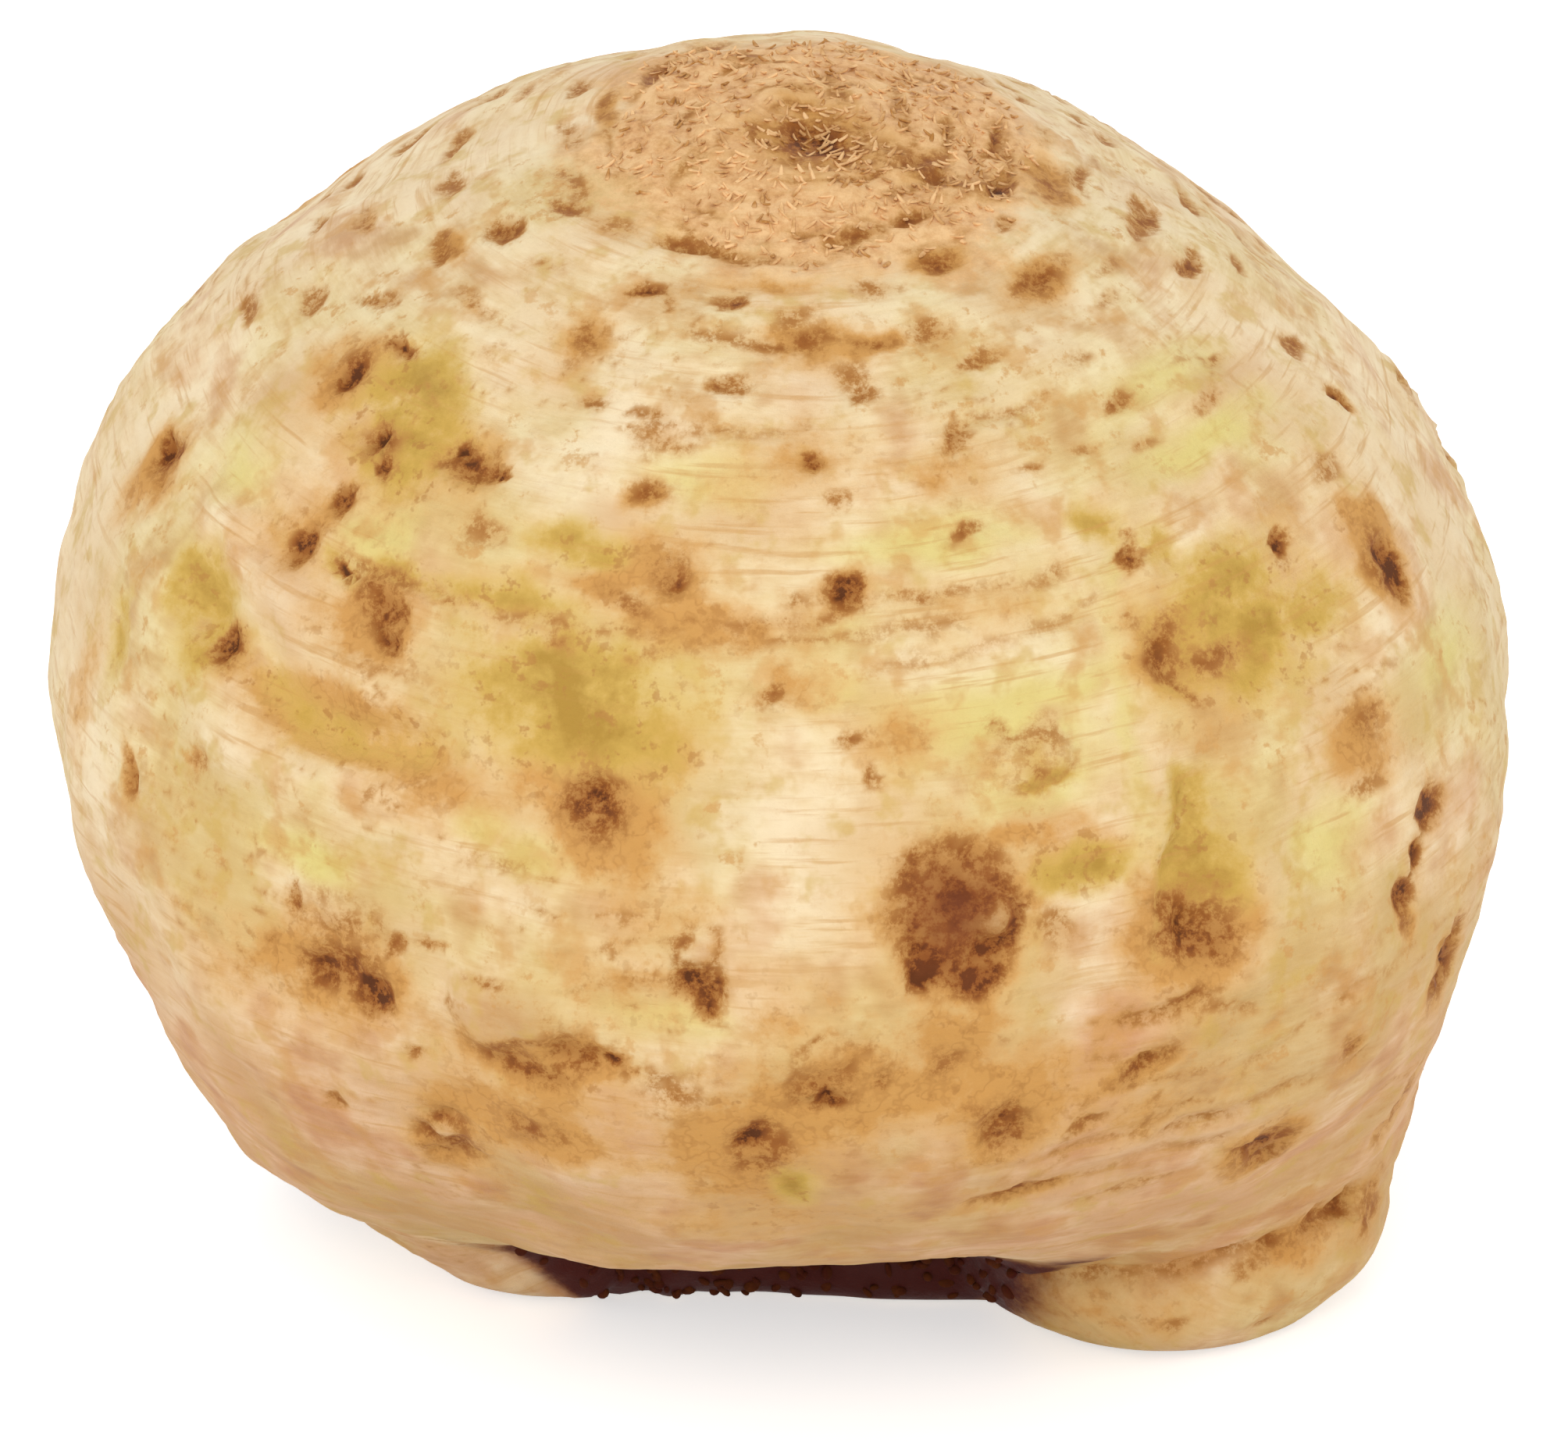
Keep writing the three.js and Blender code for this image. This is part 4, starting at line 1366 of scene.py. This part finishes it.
class CELERIAC_PG_colours(bpy.types.PropertyGroup):
    """Colours of the skin, its stains and the soil."""

    cream: colour("Cream", "Clean skin", "#e9cd9f")
    tan: colour("Tan", "Mottling of the skin", "#dab683")
    straw: colour("Straw", "Tint of the yellower patches", "#f0f0d2")
    # peach over the lower half is partly painted shade, darker towards the bottom
    peach: colour("Peach", "Tint of the lower half", "#eed6cb")
    # pale is also laid on the shoulder and the sides as painted light
    pale: colour("Pale", "Rubbed, lightest places", "#f6e4c1")
    crown_light: colour("Crown light", "Dry crown between the rings", "#f0c58f")
    crown: colour("Crown", "Dry crown", "#dba66e")
    crown_dark: colour("Crown dark", "Crown in its folds", "#a86c38")
    leaf_green: colour("Leaf green", "Greenish patches", "#ddcd7c")
    olive_light: colour("Olive light", "Thin olive stain", "#dcc06e")
    olive: colour("Olive", "Olive stain", "#cba650")
    olive_deep: colour("Olive deep", "Olive stain at its strongest", "#b08a3a")
    ochre_light: colour("Ochre light", "Thin ochre wash", "#deb072")
    ochre: colour("Ochre", "Ochre wash", "#cd9650")
    orange_tan: colour("Orange tan", "Thin brown stain", "#c99552")
    umber: colour("Umber", "Faint scar", "#b37d40")
    rust: colour("Rust", "Brown stain", "#985b25")
    rust_dark: colour("Rust dark", "Inside of a scar", "#773e16")
    pit: colour("Pit", "Bottom of a pit", "#55280c")
    # the soil colour is dark enough to be painted shade as well, under the body and in the clefts
    soil: colour("Soil", "Soil in the clefts", "#42130c")
    soil_light: colour("Soil light", "Soil where it is dry", "#83431f")


class CELERIAC_PG_stage(bpy.types.PropertyGroup):
    """Camera, floor and lights."""

    elevation: bpy.props.FloatProperty(
        name="Elevation",
        description="Camera's height above the level",
        default=math.radians(29),
        subtype="ANGLE",
    )
    distance: length("Distance", "From the camera to the root's middle", 0.640)
    lens: bpy.props.FloatProperty(
        name="Lens", description="Focal length in millimetres", default=180.0, unit="CAMERA"
    )
    key: bpy.props.FloatProperty(name="Key", description="Watts of the key lamp", default=3.5, unit="POWER")
    fill: bpy.props.FloatProperty(name="Fill", description="Strength of the even light", default=0.62)


class CELERIAC_PG_settings(bpy.types.PropertyGroup):
    """All the settings of the celeriac."""

    shape: bpy.props.PointerProperty(type=CELERIAC_PG_shape)
    growth: bpy.props.PointerProperty(type=CELERIAC_PG_growth)
    colours: bpy.props.PointerProperty(type=CELERIAC_PG_colours)
    stage: bpy.props.PointerProperty(type=CELERIAC_PG_stage)


def plain_colours(context):
    """The colour settings as four-part values, as sockets take them."""
    settings = context.scene.celeriac.colours
    return SimpleNamespace(**{name: (*getattr(settings, name), 1.0) for name in settings.__annotations__})


# ---------------------------------------------------------------------------------------------------
# Operators
# ---------------------------------------------------------------------------------------------------


class CELERIAC_OT_skin(bpy.types.Operator):
    """Grow the root's skin round the solid"""

    bl_idname = "celeriac.skin"
    bl_label = "Grow the skin"

    def execute(self, context):
        shape = context.scene.celeriac.shape
        piece = welded_copy(CAD_NODE)
        remesh = piece.modifiers.new("Even faces", "REMESH")
        remesh.mode = "VOXEL"
        remesh.voxel_size = shape.grain
        remesh.use_smooth_shade = True
        mesh = evaluated_mesh(piece)
        piece.modifiers.clear()
        piece.data = mesh

        edges = read_rows(mesh.edges, "vertices", 2, np.int32)
        points = relaxed(read_points(mesh), edges, shape.rounding)
        softer = relaxed(points, edges, SOFTER * shape.rounding)
        share = np.exp(-((np.linalg.norm(points - SOFT_FOLD, axis=1) / SOFT_FOLD_REACH) ** 4))
        points = points + share[:, None] * (softer - points)
        write_points(mesh, points)
        skin = Skin(points, read_rows(mesh.vertex_normals, "vector", 3).astype(float))
        skin.lumps()
        skin.wrinkles()
        skin.crown()
        skin.base(np.sum((softer - points) * skin.normals, axis=1))
        skin.tints()
        skin.step()
        for furrow in FURROWS:
            skin.furrow(furrow)
        marks = FRONT_TINTS + scattered_marks(shape.root_scars) + spiral_marks(shape.leaf_scars)
        for mark in marks + CROWN_MARKS + SHOULDER_MARKS + FRONT_MARKS:
            skin.mark(mark)

        write_points(mesh, relaxed(skin.finished_points(), edges, 1, LAST_SMOOTHING))
        for name, values in skin.stain.items():
            write_attribute(mesh, name, np.clip(values, 0.0, MOST_STAIN))
        along = np.stack([points[:, 0], points[:, 1], skin.from_crown], axis=1) * MM
        write_attribute(mesh, "along", along, "FLOAT_VECTOR")
        mesh.materials.clear()
        mesh.materials.append(root_skin_material(plain_colours(context)))
        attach(piece, BODY)
        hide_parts(CAD_NODE)
        return {"FINISHED"}


class CELERIAC_OT_leaf_bases(bpy.types.Operator):
    """Set dry leaf bases on the crown"""

    bl_idname = "celeriac.leaf_bases"
    bl_label = "Set the leaf bases"

    def execute(self, context):
        growth = context.scene.celeriac.growth
        colours = plain_colours(context)
        values = {
            "Density": growth.leaf_base_density,
            "Least": 0.45,
            "Length": growth.leaf_base_length,
            "Width": growth.leaf_base_width,
            "Thickness": growth.leaf_base_thickness,
            "Tilt": math.radians(77),
            "Material": mottled_material("dry_leaf_base", colours.umber, colours.crown_light, 2.5, 0.8),
        }
        set_on_skin("leaf_bases", "crown", stub, 81, values)
        return {"FINISHED"}


class CELERIAC_OT_rootlets(bpy.types.Operator):
    """Set snapped rootlets on the patches that bear them"""

    bl_idname = "celeriac.rootlets"
    bl_label = "Set the rootlets"

    def execute(self, context):
        growth = context.scene.celeriac.growth
        colours = plain_colours(context)
        values = {
            "Density": growth.rootlet_density,
            "Least": 0.4,
            "Length": growth.rootlet_length,
            "Width": growth.rootlet_width,
            "Thickness": growth.rootlet_width,
            "Tilt": math.radians(25),
            "Material": mottled_material("snapped_rootlet", colours.rust_dark, colours.umber, 2.0, 0.75),
        }
        set_on_skin("rootlets", "rootlets", stub, 84, values)
        return {"FINISHED"}


class CELERIAC_OT_crumbs(bpy.types.Operator):
    """Set crumbs of soil in the clefts of the base"""

    bl_idname = "celeriac.crumbs"
    bl_label = "Set the soil crumbs"

    def execute(self, context):
        growth = context.scene.celeriac.growth
        colours = plain_colours(context)
        values = {
            "Density": growth.crumb_density,
            "Least": 0.62,
            "Length": 0.8 * growth.crumb_size,
            "Width": growth.crumb_size,
            "Thickness": 0.7 * growth.crumb_size,
            "Tilt": math.radians(40),
            # the crumbs take the dark soil colour, which is partly painted shade
            "Material": mottled_material("dry_soil", colours.soil, colours.pit, 2.5, 0.95),
        }
        set_on_skin("soil_crumbs", "soil", crumb, 87, values)
        return {"FINISHED"}


# The stage, in metres. A lamp has its name, its place and its power as a share of the key lamp's.
LAMPS = [
    ("key", (-0.25, -0.72, 0.85), 1.0),
    ("left", (-0.95, -0.3, 0.35), 0.5),
    ("right", (0.95, -0.3, 0.35), 0.65),
    ("low", (0.15, -1.0, 0.12), 0.5),
    ("back", (0.1, 0.95, 0.7), 0.6),
]
LAMP_SIZE = 0.6
AIM = Vector((0.0, 0.0, MIDDLE[2] * MM))
TARGET = Vector((0.0004, 0.0, MIDDLE[2] * MM))  # what the camera looks at
FLOOR_HALF = 2.5
FLOOR_DROP = 0.3 * MM  # keeps the floor clear of the cut faces that stand on it
SENSOR = 36.0


def place_facing(scene, name, data, place, toward):
    """Links a lamp or camera that stands at a place and faces another."""
    thing = bpy.data.objects.new(name, data)
    thing.location = place
    thing.rotation_euler = (toward - place).to_track_quat("-Z", "Y").to_euler()
    scene.collection.objects.link(thing)
    return thing


class CELERIAC_OT_stage(bpy.types.Operator):
    """Set the floor, the lights and the camera"""

    bl_idname = "celeriac.stage"
    bl_label = "Set the stage"

    def execute(self, context):
        stage = context.scene.celeriac.stage
        scene = context.scene
        scene.view_settings.view_transform = "Standard"
        scene.world = studio_world(stage.fill)

        shape = bmesh.new()
        bmesh.ops.create_grid(shape, x_segments=1, y_segments=1, size=FLOOR_HALF)
        mesh = bpy.data.meshes.new("floor")
        shape.to_mesh(mesh)
        shape.free()
        mesh.materials.append(floor_material())
        floor = bpy.data.objects.new("floor", mesh)
        floor.location.z = -FLOOR_DROP
        scene.collection.objects.link(floor)

        for name, place, share in LAMPS:
            light = bpy.data.lights.new(name, "AREA")
            light.shape = "DISK"
            light.size = LAMP_SIZE
            light.energy = share * stage.key
            place_facing(scene, name, light, Vector(place), AIM)

        lens = bpy.data.cameras.new("camera")
        lens.lens = stage.lens
        lens.sensor_width = SENSOR
        lens.clip_start = 0.01
        back = Vector((0.0, -math.cos(stage.elevation), math.sin(stage.elevation)))
        scene.camera = place_facing(scene, "camera", lens, TARGET + back * stage.distance, TARGET)
        return {"FINISHED"}


class CELERIAC_PT_panel(bpy.types.Panel):
    """Lists the celeriac's settings and steps"""

    bl_label = "Celeriac"
    bl_space_type = "VIEW_3D"
    bl_region_type = "UI"
    bl_category = "Celeriac"

    def draw(self, context):
        settings = context.scene.celeriac
        for group in (settings.shape, settings.growth, settings.colours, settings.stage):
            box = self.layout.box()
            for name in group.__annotations__:
                box.prop(group, name)
        for operator in OPERATORS:
            self.layout.operator(operator.bl_idname)


OPERATORS = (
    CELERIAC_OT_stage,
    CELERIAC_OT_skin,
    CELERIAC_OT_leaf_bases,
    CELERIAC_OT_rootlets,
    CELERIAC_OT_crumbs,
)
CLASSES = (
    CELERIAC_PG_shape,
    CELERIAC_PG_growth,
    CELERIAC_PG_colours,
    CELERIAC_PG_stage,
    CELERIAC_PG_settings,
    *OPERATORS,
    CELERIAC_PT_panel,
)


def register():
    for cls in CLASSES:
        bpy.utils.register_class(cls)
    bpy.types.Scene.celeriac = bpy.props.PointerProperty(type=CELERIAC_PG_settings)


def unregister():
    del bpy.types.Scene.celeriac
    for cls in reversed(CLASSES):
        bpy.utils.unregister_class(cls)


def main():
    register()
    bpy.ops.celeriac.stage()
    bpy.ops.celeriac.skin()
    bpy.ops.celeriac.leaf_bases()
    bpy.ops.celeriac.rootlets()
    bpy.ops.celeriac.crumbs()


if __name__ == "__main__":
    main()
